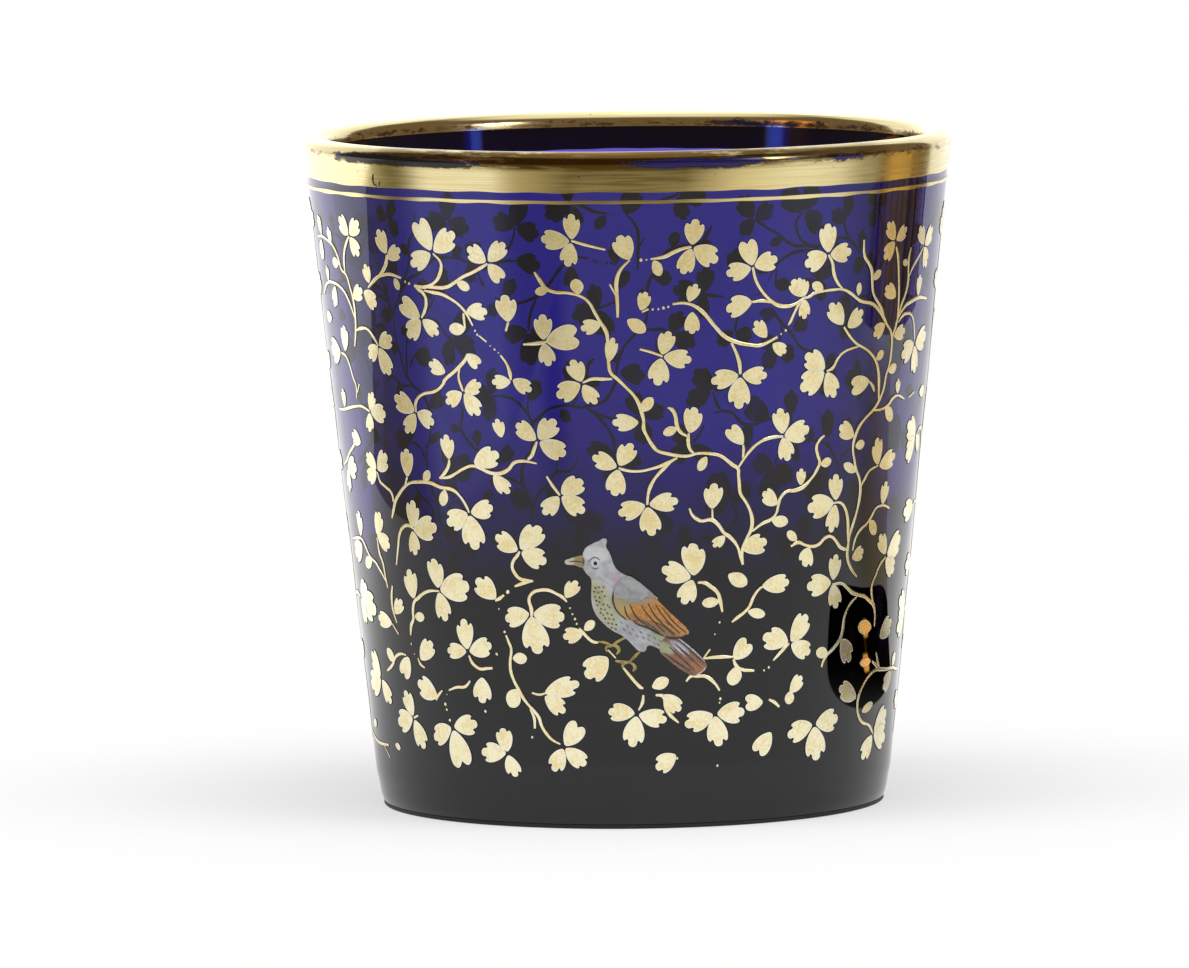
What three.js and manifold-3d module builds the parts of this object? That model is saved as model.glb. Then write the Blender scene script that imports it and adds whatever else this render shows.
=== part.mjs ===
// Flared beaker of deep blue cased glass with a gilt lip, gilt trefoil vines and an enamelled bird.
// Millimetres, +Z up. The beaker stands on z = 0 with its axis on Z, and the bird faces -Y.
// A place on the wall is [azimuth in degrees, height]: azimuth 0 faces -Y and grows towards +X.
import * as THREE from "three";
import { mergeVertices } from "three/addons/utils/BufferGeometryUtils.js";
import { TessellateModifier } from "three/addons/modifiers/TessellateModifier.js";
import Module from "manifold-3d";

const wasm = await Module();
wasm.setup();

// Glass body
const beakerHeight = 90;
const footRadius = 34.1; // the outer wall's line carried down to the ground
const mouthRadius = 43.55; // the same line carried up to the lip's top
const lipRadius = 1.5; // the lip is fully rounded, so the wall is twice this thick there
const wallAtFloor = 4.2;
const floorThickness = 8;
const innerFilletRadius = 4;
const heelRadius = 2;
const standingRingWidth = 7.9; // the ground ring that the beaker stands on
const baseRecessDepth = 0.8;
const recessSlopeWidth = 1.2;
const roundSegments = 48;
const lipSteps = 6;
const filletSteps = 3;

// Gilding and enamel lie over the glass as thin plates
const platingGap = 0.05;
const platingThickness = 0.15;
const outerBandDepth = 5.2;
const innerBandDepth = 1.9;
const bareStripHeight = 1.05; // between the band and the thin line below it
const giltLineWidth = 0.5;

// The vine and the bird
const sprayThickness = 0.16;
const enamelThickness = 0.25;
const enamelSeam = 0.16; // glass left bare between two enamels
const longestFacet = 7.5;
const stemWidth = 0.55;
const leafBreadth = 0.74; // breadths are shares of the length
const broadLeaf = 0.95;
const slenderLeaf = 0.58;
const budBreadth = 0.55;
const broadBud = 0.8;
const slenderBud = 0.4;
const leafShoulder = 0.68;
const budShoulder = 0.52;
const leafBluntness = 0.2;
const baseOverlap = 0.08;
const drawingUnits = 83.25; // the vine's heights are in these units from the ground to the gilt line
const backTurn = 180;

const gold = { color: 0xd8b96a, roughness: 0.32, metalness: 1 };
const finishes = {
  glass: { color: 0x1c2368, roughness: 0.04, metalness: 0, transparent: true, opacity: 0.8 },
  gilding: gold,
  vine: { ...gold, color: 0xeadcae, roughness: 0.4 },
  plumage: { color: 0xb2b4be, roughness: 0.5, metalness: 0 },
  wing: { color: 0xc8823c, roughness: 0.5, metalness: 0 },
  tail: { color: 0xa5603a, roughness: 0.5, metalness: 0 },
  horn: { color: 0xa08c46, roughness: 0.5, metalness: 0 },
  pupil: { color: 0x14141c, roughness: 0.3, metalness: 0 },
};

const rad = THREE.MathUtils.degToRad;
const wallSlope = (mouthRadius - footRadius) / beakerHeight;
const meanRadius = (footRadius + mouthRadius) / 2;
const lipCentre = {
  radius: mouthRadius - wallSlope * lipRadius - lipRadius * Math.hypot(1, wallSlope),
  height: beakerHeight - lipRadius,
};
const giltLineTop = beakerHeight - outerBandDepth - bareStripHeight;
const giltLineBottom = giltLineTop - giltLineWidth;
const innerFootRadius = footRadius + wallSlope * floorThickness - wallAtFloor;
const innerSlope = (lipCentre.radius - lipRadius - innerFootRadius) / (lipCentre.height - floorThickness);

// A flat facet of a leaf dips between its corners, so leaves stand off the glass by that much more.
const facetDip = longestFacet ** 2 / (8 * footRadius);
const sprayGap = platingGap + facetDip;

const wallRadius = (height) => footRadius + wallSlope * height;

// Profiles, as [radius, height] points

const onLip = (angle, offset) => [
  lipCentre.radius + (lipRadius + offset) * Math.cos(angle),
  lipCentre.height + (lipRadius + offset) * Math.sin(angle),
];

// The lip's arc from its outer to its inner wall, grown by an offset.
function lipArc(offset) {
  const start = -Math.atan(wallSlope);
  const end = Math.PI - Math.atan(innerSlope);
  const angleAt = (step) => start + ((end - start) * step) / lipSteps;
  return Array.from({ length: lipSteps + 1 }, (_, step) => onLip(angleAt(step), offset));
}

const innerRadius = (height) => innerFootRadius + innerSlope * (height - floorThickness);

// A point of the outer or inner wall's line, moved off the glass.
const offOuter = (height, offset) => [wallRadius(height) + offset * Math.hypot(1, wallSlope), height];
const offInner = (height, offset) => [innerRadius(height) - offset * Math.hypot(1, innerSlope), height];

function arc(centre, radius, from, to, steps) {
  const angleAt = (step) => rad(from + ((to - from) * step) / steps);
  return Array.from({ length: steps + 1 }, (_, step) => [
    centre[0] + radius * Math.cos(angleAt(step)),
    centre[1] + radius * Math.sin(angleAt(step)),
  ]);
}

const downward = -90;
const outward = 0;

function glassProfile() {
  const recessEdge = footRadius - heelRadius - standingRingWidth;
  const heelCentre = [wallRadius(heelRadius) - heelRadius, heelRadius];
  const filletCentre = [
    innerRadius(floorThickness + innerFilletRadius) - innerFilletRadius,
    floorThickness + innerFilletRadius,
  ];
  return [
    [0, baseRecessDepth],
    [recessEdge - recessSlopeWidth, baseRecessDepth],
    [recessEdge, 0],
    ...arc(heelCentre, heelRadius, downward, outward, filletSteps),
    ...lipArc(0),
    ...arc(filletCentre, innerFilletRadius, outward, downward, filletSteps),
    [0, floorThickness],
  ];
}

// A closed loop that lies platingGap off the lip and the walls beside it.
function rimProfile() {
  const side = (offset) => [
    offOuter(beakerHeight - outerBandDepth, offset),
    ...lipArc(offset),
    offInner(beakerHeight - innerBandDepth, offset),
  ];
  const outside = side(platingGap + platingThickness);
  return [...outside, ...side(platingGap).reverse(), outside[0]];
}

function lineProfile() {
  const outside = platingGap + platingThickness;
  const first = offOuter(giltLineBottom, outside);
  const inner = [offOuter(giltLineTop, platingGap), offOuter(giltLineBottom, platingGap)];
  return [first, offOuter(giltLineTop, outside), ...inner, first];
}

// Solids

function positionsOnly(geometry) {
  const bare = new THREE.BufferGeometry().setAttribute("position", geometry.getAttribute("position"));
  return mergeVertices(geometry.index ? bare.setIndex(geometry.index) : bare);
}

function turned(profile) {
  const points = profile.map(([radius, height]) => new THREE.Vector2(radius, height));
  const geometry = new THREE.LatheGeometry(points, roundSegments).rotateX(Math.PI / 2);
  return positionsOnly(geometry);
}

// A flat plate with the outline given, as a manifold-3d solid.
function plate(outline, thickness) {
  const shape = new THREE.Shape(outline.map(([x, y]) => new THREE.Vector2(x, y)));
  const flat = new THREE.ExtrudeGeometry(shape, { depth: thickness, bevelEnabled: false });
  const merged = positionsOnly(flat);
  return new wasm.Manifold(
    new wasm.Mesh({
      numProp: 3,
      vertProperties: merged.attributes.position.array,
      triVerts: new Uint32Array(merged.index.array),
    }),
  );
}

function geometryOf(solid) {
  const { vertProperties, triVerts } = solid.getMesh();
  const geometry = new THREE.BufferGeometry();
  geometry.setAttribute("position", new THREE.BufferAttribute(vertProperties, 3));
  return geometry.setIndex(new THREE.BufferAttribute(triVerts, 1)).toNonIndexed();
}

// Bends a flat solid round the wall: x is the arc at the mean radius, y the height, z the distance off it.
function wrapped(solid) {
  const fine = new TessellateModifier(longestFacet).modify(geometryOf(solid));
  const at = fine.getAttribute("position");
  for (let i = 0; i < at.count; i++) {
    const angle = at.getX(i) / meanRadius;
    const radius = wallRadius(at.getY(i)) + sprayGap + at.getZ(i);
    at.setXYZ(i, radius * Math.sin(angle), -radius * Math.cos(angle), at.getY(i));
  }
  return positionsOnly(fine);
}

// Drawing on the flat: a place [azimuth, height] becomes [x, y] in millimetres.

const heightOf = (units) => (units * giltLineBottom) / drawingUnits;
const flatPlace = ([azimuth, height]) => [rad(azimuth) * meanRadius, heightOf(height)];

// Outline points given along and across a line from base to tip, in shares of its length.
function outlineAlong(base, tip, shares) {
  const [x0, y0] = flatPlace(base);
  const [x1, y1] = flatPlace(tip);
  const stretch = meanRadius / wallRadius((y0 + y1) / 2);
  const [dx, dy] = [(x1 - x0) / stretch, y1 - y0];
  return shares.map(([along, across]) => [
    x0 + (dx * along - dy * across) * stretch,
    y0 + dy * along + dx * across,
  ]);
}

// A leaf widens to its blunt lobes, and a bud is a plain lozenge. Both start a little before their base.
const leaf = (base, tip, breadth = leafBreadth) =>
  outlineAlong(base, tip, [
    [-baseOverlap, 0],
    [leafShoulder, -breadth / 2],
    [1, -breadth * leafBluntness],
    [1, breadth * leafBluntness],
    [leafShoulder, breadth / 2],
  ]);
const bud = (base, tip, breadth = budBreadth) =>
  outlineAlong(base, tip, [
    [-baseOverlap, 0],
    [budShoulder, -breadth / 2],
    [1, 0],
    [budShoulder, breadth / 2],
  ]);

// A ribbon of stemWidth along the places given.
function stem(...places) {
  const line = places.map((place) => new THREE.Vector2(...flatPlace(place)));
  const side = (sign) =>
    line.map((point, i) => {
      const before = line[Math.max(i - 1, 0)];
      const after = line[Math.min(i + 1, line.length - 1)];
      const along = after.clone().sub(before).normalize();
      return [point.x - along.y * sign * (stemWidth / 2), point.y + along.x * sign * (stemWidth / 2)];
    });
  return [...side(-1), ...side(1).reverse()];
}

const trefoil = (centre, ...tips) => tips.map((tip) => leaf(centre, tip));

// A spray's outlines in one list: a trefoil holds several, and any other stroke is one.
const isOutline = (stroke) => typeof stroke[0][0] === "number";
const vine = (...strokes) => strokes.flatMap((stroke) => (isOutline(stroke) ? [stroke] : stroke));

const vines = {
  left_crown_vine: vine(
    stem([-63.2, 63], [-61.6, 67], [-62.5, 71], [-65.4, 73.2], [-68.3, 76.2], [-74.5, 77.2], [-78, 77]),
    stem([-63.6, 71.9], [-63.3, 75.6], [-60.6, 77.9]),
    trefoil([-60.6, 77.9], [-64.2, 80.2], [-56.6, 80], [-57.8, 75.2]),
    stem([-61.9, 67], [-65.1, 70.2], [-70.4, 71.2], [-76.2, 70.4], [-78, 69.4]),
    stem([-62, 65.2], [-57.5, 65.6], [-54.2, 63.5]),
    trefoil([-54.2, 63.5], [-49.8, 65], [-58, 61.8], [-51.6, 59.6]),
    leaf([-61.8, 69.6], [-57.8, 71]),
    leaf([-69.5, 70.9], [-71, 67.8]),
    leaf([-73.3, 71.1], [-73.6, 73.4]),
    leaf([-69.2, 76.4], [-69.8, 78.8]),
    leaf([-74.5, 77.2], [-76, 80]),
    leaf([-75, 77], [-76.5, 74]),
  ),
  left_loop_vine: vine(
    stem([-42.5, 72], [-39.9, 71.9], [-37.5, 72.6], [-35.8, 75.2], [-37.6, 76.5]),
    trefoil([-37.6, 76.5], [-40.5, 80.8], [-32.1, 79.2], [-42.8, 74.4]),
    stem([-39.9, 71.9], [-35, 72], [-31.4, 73.4], [-26, 75.4]),
    trefoil([-26, 75.4], [-30, 77.3], [-22.4, 78.2], [-23.1, 73.2]),
    stem([-42.5, 72], [-40.2, 70.8], [-40.5, 68.6], [-41.4, 67.6]),
    trefoil([-41.4, 67.6], [-46.2, 70], [-45.4, 65], [-37.4, 65.6]),
    stem([-39.9, 71.9], [-36, 71], [-32.6, 69.8], [-29.8, 67], [-27, 64.9], [-23.2, 62], [-22.6, 59.8]),
    leaf([-31.5, 68.7], [-26.5, 69.1]),
    stem([-32, 69.3], [-31.5, 66.6]),
    bud([-31.5, 66.6], [-35.1, 66.3]),
    trefoil([-22.6, 59.8], [-26.6, 59.5], [-18.6, 58.4]),
    stem([-42.5, 72], [-45.7, 72.9], [-51.9, 72.9], [-55.7, 71.2]),
    stem([-51.9, 72.9], [-49.1, 75.8]),
    trefoil([-49.1, 75.8], [-51, 79.2], [-45.1, 76.6]),
    leaf([-55.2, 71.4], [-56.1, 74.4]),
    leaf([-55.7, 71.2], [-53, 68.6]),
    stem([-24.4, 63.1], [-22.5, 67.6]),
    leaf([-22.5, 67.6], [-22.9, 71.3], broadLeaf),
    stem([-24.4, 63.1], [-19.8, 64.7], [-15.4, 65.1]),
    trefoil([-15.4, 65.1], [-15.8, 68.8], [-9.1, 65.6], [-14.9, 61.8]),
  ),
  left_mid_vine: vine(
    stem([-44.9, 55], [-42.8, 57.5], [-37.5, 59], [-33.2, 61.6], [-31.4, 63.2]),
    leaf([-31.4, 63.2], [-28.6, 61.8]),
    stem([-33.6, 61.4], [-32.9, 58.1]),
    trefoil([-32.9, 58.1], [-28.7, 59.2], [-37.2, 56.6], [-29.6, 55]),
    trefoil([-44.9, 55], [-50.9, 56.8], [-40.2, 53.8], [-48.1, 52]),
    leaf([-37, 59.4], [-40.5, 61.8]),
  ),
  left_side_vine: vine(
    stem([-59.8, 54.5], [-65.4, 54.9], [-72.7, 54.1], [-79, 54.2]),
    trefoil([-59.8, 54.5], [-57.8, 57.2], [-54, 54.2], [-60.4, 51.6]),
    leaf([-72, 54.1], [-72, 57]),
    stem([-70.4, 61.8], [-66.6, 60.4], [-64.5, 57.6], [-64.9, 54.9]),
    leaf([-70, 61.8], [-77.4, 61.8]),
    leaf([-68, 61.4], [-67.1, 65.7]),
  ),
  left_side_sprig: vine(
    stem([-78.5, 46.2], [-72.7, 48.2], [-66, 50]),
    leaf([-66.4, 49.9], [-69.8, 51.8]),
    leaf([-74.6, 47.4], [-68.9, 46.2]),
    leaf([-75.4, 47.1], [-76.4, 42.8]),
  ),
  left_middle_vine: vine(
    stem([-55.6, 40.4], [-53.7, 42.8], [-48.7, 45.4], [-42.8, 45.7], [-36.9, 44.9], [-33.5, 42]),
    stem([-50.1, 44.8], [-49.2, 46.2]),
    leaf([-49.2, 46.2], [-48.8, 50.1]),
    stem([-54, 42.6], [-56.9, 44.6], [-59.4, 46.5]),
    trefoil([-59.4, 46.5], [-62.9, 48.9], [-54.8, 48.7], [-63.6, 45]),
    bud([-44.4, 45.7], [-42.8, 47.6]),
    bud([-39, 45.2], [-39.9, 42.6]),
    trefoil([-33.5, 42], [-39.3, 40.4], [-27.8, 42.6], [-32.2, 37.4]),
    stem([-40.2, 45.4], [-40.2, 46.6], [-36, 47.2], [-32, 48.3], [-26.8, 47.4], [-22.9, 48.9], [-18.2, 48.9]),
    stem([-39.6, 46.6], [-37.4, 49]),
    leaf([-37.4, 49], [-37.4, 52.4]),
    leaf([-31.6, 48.2], [-26, 50.4]),
    leaf([-27, 47.4], [-24.4, 44.6]),
    stem([-20.4, 49], [-17.8, 51.9]),
    trefoil([-17.8, 51.9], [-22.2, 54], [-14, 54.8], [-12.2, 50.2]),
    stem([-18.2, 48.9], [-13.8, 44.7]),
    trefoil([-13.8, 44.7], [-9.2, 46.8], [-17.6, 42.2], [-9.2, 42.2]),
  ),
  left_low_vine: vine(
    trefoil([-49.2, 39.2], [-48.1, 43.2], [-42.4, 39.4], [-48.4, 36]),
    stem([-49.2, 39.2], [-51.9, 39.4], [-54.5, 36.4], [-55.7, 34], [-58.4, 31], [-58.9, 28], [-57.6, 24.7]),
    leaf([-58.4, 27.2], [-55.1, 29.6]),
    stem([-57.6, 24.7], [-59.8, 26.2]),
    leaf([-59.8, 26.2], [-66.2, 26.4], slenderLeaf),
    stem([-58.8, 29.4], [-61.6, 32.4], [-66.3, 34.4], [-70.7, 36.7], [-78, 36.4]),
    stem([-61.2, 32.2], [-61.1, 34.2], [-62.3, 37.6]),
    leaf([-62.3, 37.6], [-60, 41]),
    leaf([-62.3, 37.6], [-57.5, 36.4]),
    leaf([-71.3, 36.8], [-70.4, 40.6]),
    leaf([-71, 36.6], [-77, 33.8]),
    bud([-66.2, 34.3], [-70.2, 33]),
  ),
  left_arch_vine: vine(
    trefoil([-43.1, 31.3], [-43.1, 35.6], [-34.8, 31.8], [-41, 27.4]),
    stem([-43.1, 31.3], [-47.8, 30.6], [-50.7, 29.4], [-51.5, 28], [-53.1, 24.8], [-52.2, 22.2], [-50, 20.8]),
    leaf([-50.8, 29.4], [-51.9, 33.8]),
    bud([-51.5, 27.4], [-47.8, 27.5]),
    leaf([-51, 21.6], [-46, 24.2]),
    stem([-52.2, 22.2], [-57, 22.1], [-61.2, 20.6], [-68.2, 18.2]),
    bud([-61.2, 20.6], [-63.8, 22.6]),
    leaf([-54.8, 22.1], [-57, 19.2], broadLeaf),
    trefoil([-68.2, 18.2], [-73.6, 21.2], [-76.6, 16.4], [-64.4, 14.8]),
  ),
  left_foot_vine: vine(
    trefoil([-54.9, 13.6], [-57.5, 17.2], [-61.8, 12.4], [-52.3, 9.4]),
    stem([-54.9, 13.6], [-50, 14.8], [-46.4, 16.6], [-42.5, 17.9], [-37.8, 18.6], [-33.6, 19.8]),
    leaf([-46.4, 16.6], [-52.3, 18.4]),
    leaf([-33.4, 19.9], [-33.2, 16.4], broadLeaf),
    stem([-45, 17.2], [-42.3, 12.9]),
    trefoil([-42.3, 12.9], [-48.6, 11.4], [-35.3, 13.9], [-40.6, 7.6]),
  ),
  centre_left_vine: vine(
    trefoil([-36.4, 23.3], [-37, 27.6], [-42.2, 23.2], [-30.2, 24.4]),
    stem([-36.4, 23.3], [-34.6, 21.4], [-30.5, 21.3], [-26.2, 21.8]),
    leaf([-28.4, 30.4], [-32.8, 33]),
    stem([-28.6, 30.3], [-24.2, 32.4], [-20.1, 33.2]),
    stem([-20.6, 33.1], [-24, 34.2], [-24.4, 35.4], [-22.7, 37.1]),
    trefoil([-22.7, 37.1], [-28, 39], [-18, 40.6], [-17, 35.7]),
    stem([-28.4, 30.3], [-27, 26.4], [-25.9, 24], [-26.2, 21], [-22.6, 16.6], [-19.8, 13.8], [-15.2, 11]),
    bud([-26, 22.7], [-22.2, 22.7]),
    bud([-24.8, 18.8], [-27.2, 16.2], broadBud),
    stem([-22.4, 16.4], [-21.4, 13.4], [-24.6, 11.6], [-28.1, 10]),
    trefoil([-28.1, 10], [-34.9, 10], [-29.4, 13.3], [-26.6, 6.8]),
    trefoil([-15.2, 11], [-11, 14], [-9.6, 8.9], [-18.2, 8]),
    stem([-23.4, 17.6], [-18.6, 18.2]),
    leaf([-18.6, 18.2], [-11, 19.6], slenderLeaf),
    leaf([-18.7, 18.1], [-14.4, 15.6]),
  ),
  perch_arch: vine(
    trefoil([-20.9, 28.8], [-26.6, 28.3], [-13.9, 28.3], [-19.9, 23.4]),
    stem([-20.9, 28.8], [-21.2, 30.8], [-18.8, 32], [-14, 31.1], [-11.4, 28.2], [-9.4, 26]),
    leaf([-13.9, 30.9], [-11, 33.2]),
    leaf([-10.1, 26.4], [-14.3, 25.4]),
  ),
  perch_branch: vine(
    stem([-1, 20.7], [1.2, 19.2], [2.2, 18], [0.8, 15.5]),
    trefoil([0.8, 15.5], [-5.3, 15.8], [7, 14.6], [-0.6, 11.1]),
    stem([1.8, 18.6], [4.8, 18.4], [6.6, 17.4], [7.4, 15.8], [9.7, 14.2]),
    bud([4.4, 18.5], [7.4, 20.4]),
    bud([6.4, 17.6], [10.3, 15.9], broadBud),
  ),
  right_low_vine: vine(
    trefoil([12.4, 33.5], [5.9, 34.8], [12.9, 37.8], [10.4, 30.2]),
    stem([12.4, 33.5], [16.2, 32.2], [18.2, 30.2], [18.4, 27.6], [16.2, 24.2]),
    bud([18.2, 30.2], [14.4, 30.2]),
    stem([16.6, 24.8], [18.2, 22.9], [21.4, 22.5]),
    leaf([21.4, 22.5], [24.6, 24.8], broadLeaf),
    stem([21.4, 22.5], [23.2, 21], [28.4, 20.9], [31.6, 22.5], [34.5, 24.1]),
    trefoil([34.5, 24.1], [28, 25.6], [39.2, 27.6], [40, 22.6]),
    bud([22.4, 21.7], [21.8, 18.8], broadBud),
    stem([18.4, 27.6], [20.8, 27.4], [24.6, 29.4], [27.6, 32]),
    leaf([27.4, 31.9], [33.5, 32.4], slenderLeaf),
    bud([24.2, 29], [28.3, 28], slenderBud),
  ),
  tail_branch: vine(
    stem([11.4, 19.2], [13.6, 19.9], [16.6, 19.4], [18.5, 18.3], [17.6, 15.1]),
    trefoil([17.6, 15.1], [10.9, 13.9], [24.1, 15], [18.4, 10.8]),
    stem([18.4, 11.2], [12, 9.7], [9, 9.9]),
    leaf([9.2, 9.9], [4.2, 8.6]),
  ),
  right_lower_vine: vine(
    trefoil([45.2, 31.6], [45.6, 35.3], [38, 31.4], [46.6, 28.2]),
    stem([45.2, 31.6], [49.6, 30.8], [53.9, 29.5], [58.1, 28.5], [60.4, 27.4], [61.3, 24.8], [63.2, 21.2]),
    stem([53.3, 29.6], [50.4, 27.8], [49.3, 24.8], [45.1, 22], [43.6, 20.4]),
    leaf([49, 24.2], [52.9, 20.8]),
    bud([45.4, 22.1], [41.6, 22.6]),
    stem([60.2, 27.6], [58.7, 30.4], [61.3, 33], [63.8, 34]),
    trefoil([63.8, 34], [68.8, 31.7], [60, 37.2], [71.3, 35.8]),
    bud([61.2, 25], [54.6, 25.1]),
    stem([63.2, 21.2], [66.4, 18.7], [73, 18.4], [79, 18]),
    stem([66.4, 18.7], [61.3, 18.4], [57.1, 15.8], [57.9, 12.8], [62.1, 11.6], [65.1, 10.2]),
    trefoil([65.1, 10.2], [72.8, 12.4], [60.3, 7.3], [73.3, 8.4]),
    leaf([57, 15.7], [49.4, 17], slenderLeaf),
    bud([58.2, 13.1], [63.7, 14.6], slenderBud),
    stem([65, 19.3], [61.6, 20.1]),
    bud([61.6, 20.1], [56.3, 20.1], slenderBud),
    stem([63.2, 21.2], [64.2, 23.2]),
    leaf([64.2, 23.2], [70.2, 25]),
    leaf([73.6, 18.3], [68.4, 16]),
    leaf([74.4, 18.4], [74.6, 20.8]),
  ),
  foot_sprig: vine(
    leaf([28.6, 16.4], [24.9, 16.4], broadLeaf),
    stem([28.4, 16.4], [32.7, 15.8], [35.2, 17.2]),
    leaf([35.2, 17.2], [38.4, 19.4]),
    bud([35.4, 17.6], [35, 15.6], broadBud),
    stem([32, 15.9], [31, 12.4]),
    leaf([31, 12.4], [27.4, 9.6], broadLeaf),
  ),
  right_foot_trefoil: vine(trefoil([42.4, 12.8], [35.2, 11.7], [49.8, 13], [44, 7.8])),
  crown_vine: vine(
    trefoil([-10, 78.4], [-9.8, 82], [-15.6, 78.4], [-11, 75]),
    stem([-10, 78.4], [-4, 77.3], [2.4, 76.1], [6.6, 76.3], [11.4, 77.5]),
    trefoil([11.4, 77.5], [12.2, 81.2], [10, 73.8], [16.4, 75.6]),
    leaf([0.3, 76.2], [-1.6, 79.4], broadLeaf),
    stem([0.3, 76.4], [-2.1, 73.2], [-2, 69.2]),
    bud([4.3, 76], [6, 73.8]),
  ),
  centre_vine: vine(
    stem([-17, 74.3], [-13.4, 71.7], [-8.2, 71], [-4.2, 66.6], [-3.8, 62.4], [0.8, 58], [2.6, 53.6]),
    stem([2.6, 53.6], [5.2, 50.6], [11, 49.8], [17.6, 49.6], [21.3, 47], [24.5, 41], [22.6, 37], [22.8, 35]),
    bud([-14.6, 72.2], [-17.4, 71.2]),
    leaf([-9, 71.2], [-9.4, 73.5]),
    leaf([-5, 67.5], [-8.9, 67]),
    leaf([-3.8, 62.4], [-2.6, 65.4]),
    stem([-2.8, 61], [-8.8, 59.6]),
    trefoil([-8.8, 59.6], [-10.6, 62.6], [-13.8, 57.8], [-6.2, 56.8]),
    bud([2, 56.4], [4.7, 57.6]),
    leaf([2.4, 54.4], [-3.4, 54.2]),
    stem([9, 50], [4, 48.2], [-2.2, 48.4]),
    trefoil([-2.2, 48.4], [-7.4, 49.8], [0, 51.8], [-3.4, 44.6]),
    stem([5.6, 48.6], [3.4, 44.8], [3.2, 43.4]),
    trefoil([3.2, 43.4], [-2.4, 42.6], [9.4, 43.7], [4.4, 39.4]),
    stem([12.2, 49.9], [11.3, 52.8]),
    leaf([11.3, 52.8], [12.8, 56.2]),
    stem([11.2, 52.2], [8.6, 55.2], [7.2, 56.3]),
    bud([9.8, 53.6], [6.4, 52.8]),
    bud([14.6, 49.8], [13, 47.6]),
    stem([20.8, 47.4], [25.2, 51.1], [30.4, 51.9]),
    trefoil([30.4, 51.9], [29.9, 55.6], [36.7, 52.3], [31.8, 48.4]),
    stem([22.1, 48.4], [22.1, 51.2]),
    leaf([22.1, 51.2], [19, 53.4]),
    stem([24.4, 39.8], [28.6, 40.8], [30.6, 43.6], [36, 44.9], [39.6, 48], [38.6, 50.2], [40.4, 51.5]),
    leaf([30.2, 43], [26.4, 44.4]),
    bud([28.8, 41.1], [32.6, 40]),
    leaf([35.2, 44.8], [35.4, 47.4]),
    bud([39.3, 47.8], [42.7, 47.9]),
    leaf([22.8, 37.2], [27.7, 38.1]),
    stem([22.6, 36.2], [18.6, 39.4], [15.8, 41.2], [11.5, 42.8]),
    stem([16, 41], [16.1, 42.8]),
    leaf([16.1, 42.6], [16.6, 46.1]),
    leaf([18.8, 39.4], [16.4, 37.2]),
    stem([-3.9, 64.3], [2, 64.1], [6, 63.1]),
    trefoil([6, 63.1], [7.6, 66.2], [11.6, 62.2], [4.8, 59.4]),
  ),
  upper_right_vine: vine(
    leaf([2.4, 69.2], [3.2, 71.7]),
    stem([2.2, 69.1], [8, 70], [11.6, 69.8], [16, 66.8], [20, 64.7], [25, 64.1], [29.8, 66], [33.6, 70.1]),
    bud([2.4, 69.1], [1.6, 66.4]),
    leaf([11, 69.9], [12.4, 72.6]),
    leaf([11.6, 69.8], [11.6, 65.9]),
    stem([19.4, 64.9], [21.1, 60.3]),
    trefoil([21.1, 60.3], [15.4, 59.8], [26.6, 59.8], [21, 55.8]),
    leaf([26.2, 64.4], [23.6, 67.4]),
    leaf([27, 64.7], [30.4, 62.7]),
    trefoil([33.6, 70.1], [31.1, 72.7], [34.1, 67.2]),
    stem([33.6, 70.1], [28, 69.4], [24.8, 71.4], [22.9, 74.5]),
    trefoil([22.9, 74.5], [21.7, 78.2], [27.7, 75.8], [17.9, 73.4]),
    stem([27, 69.9], [23, 69.9]),
    leaf([23, 69.9], [17.8, 69.4]),
  ),
  right_vine: vine(
    stem([35.2, 70.4], [40.6, 70.9], [48, 69], [53.3, 67.6], [58.1, 64.4], [58.7, 61]),
    stem([58.7, 61], [57.1, 57], [53.9, 54.2]),
    stem([53.9, 54.2], [49.9, 52.2], [48.5, 49.4], [51.2, 45.2], [51.7, 42.6], [49.3, 37.4], [49.1, 35]),
    stem([49.1, 35], [50.4, 33.4], [52.8, 32]),
    bud([38, 70.7], [35.4, 72.4]),
    bud([47, 69.4], [47, 71.8]),
    stem([42.8, 70.8], [40.4, 73], [38.8, 75.6]),
    trefoil([38.8, 75.6], [37.8, 79.8], [33.4, 74.5], [44.4, 76]),
    stem([54.8, 66.8], [51.2, 70], [50.3, 73], [48, 75], [47.5, 77.2]),
    bud([50.7, 71.6], [53.4, 73]),
    stem([58.1, 64.4], [60, 66], [59.9, 69.4], [57.2, 76.5]),
    trefoil([57.2, 76.5], [53.9, 79.2], [60.8, 78.8], [53.5, 74.4]),
    stem([60, 66], [63.2, 71.2], [62.7, 74], [63.2, 75.4]),
    bud([62.9, 72.8], [60.2, 73.8]),
    stem([63.2, 71.2], [66.7, 73.8], [69.3, 75.3]),
    trefoil([69.3, 75.3], [66.4, 78.2], [74.1, 77.4], [72, 72.4]),
    leaf([59.9, 69], [55.4, 70.8]),
    leaf([68.5, 68.3], [68.5, 71.6]),
    stem([60, 66], [65.3, 68.1], [74.1, 68]),
    stem([59.4, 65.4], [64, 66.6], [67.5, 65.2], [68.9, 62.4]),
    trefoil([68.9, 62.4], [76.3, 62.8], [62.9, 60.8], [70.7, 58.2]),
    leaf([58.4, 63.7], [63.7, 64.4]),
    leaf([56, 66], [52.3, 64]),
    stem([43.7, 65.8], [50.1, 62.6], [54.7, 59.4], [55.7, 55.6]),
    bud([53.4, 60.6], [56.6, 62]),
    bud([58.2, 59.4], [61.5, 59.4]),
    trefoil([43.7, 65.8], [39.8, 69], [48.8, 67.4]),
    stem([39.8, 60.2], [42.6, 61.6], [48.6, 63.3]),
    trefoil([39.8, 60.2], [34.8, 62.8], [33.8, 57.9], [42.4, 56.4]),
    stem([52, 58.2], [54.4, 56]),
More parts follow.
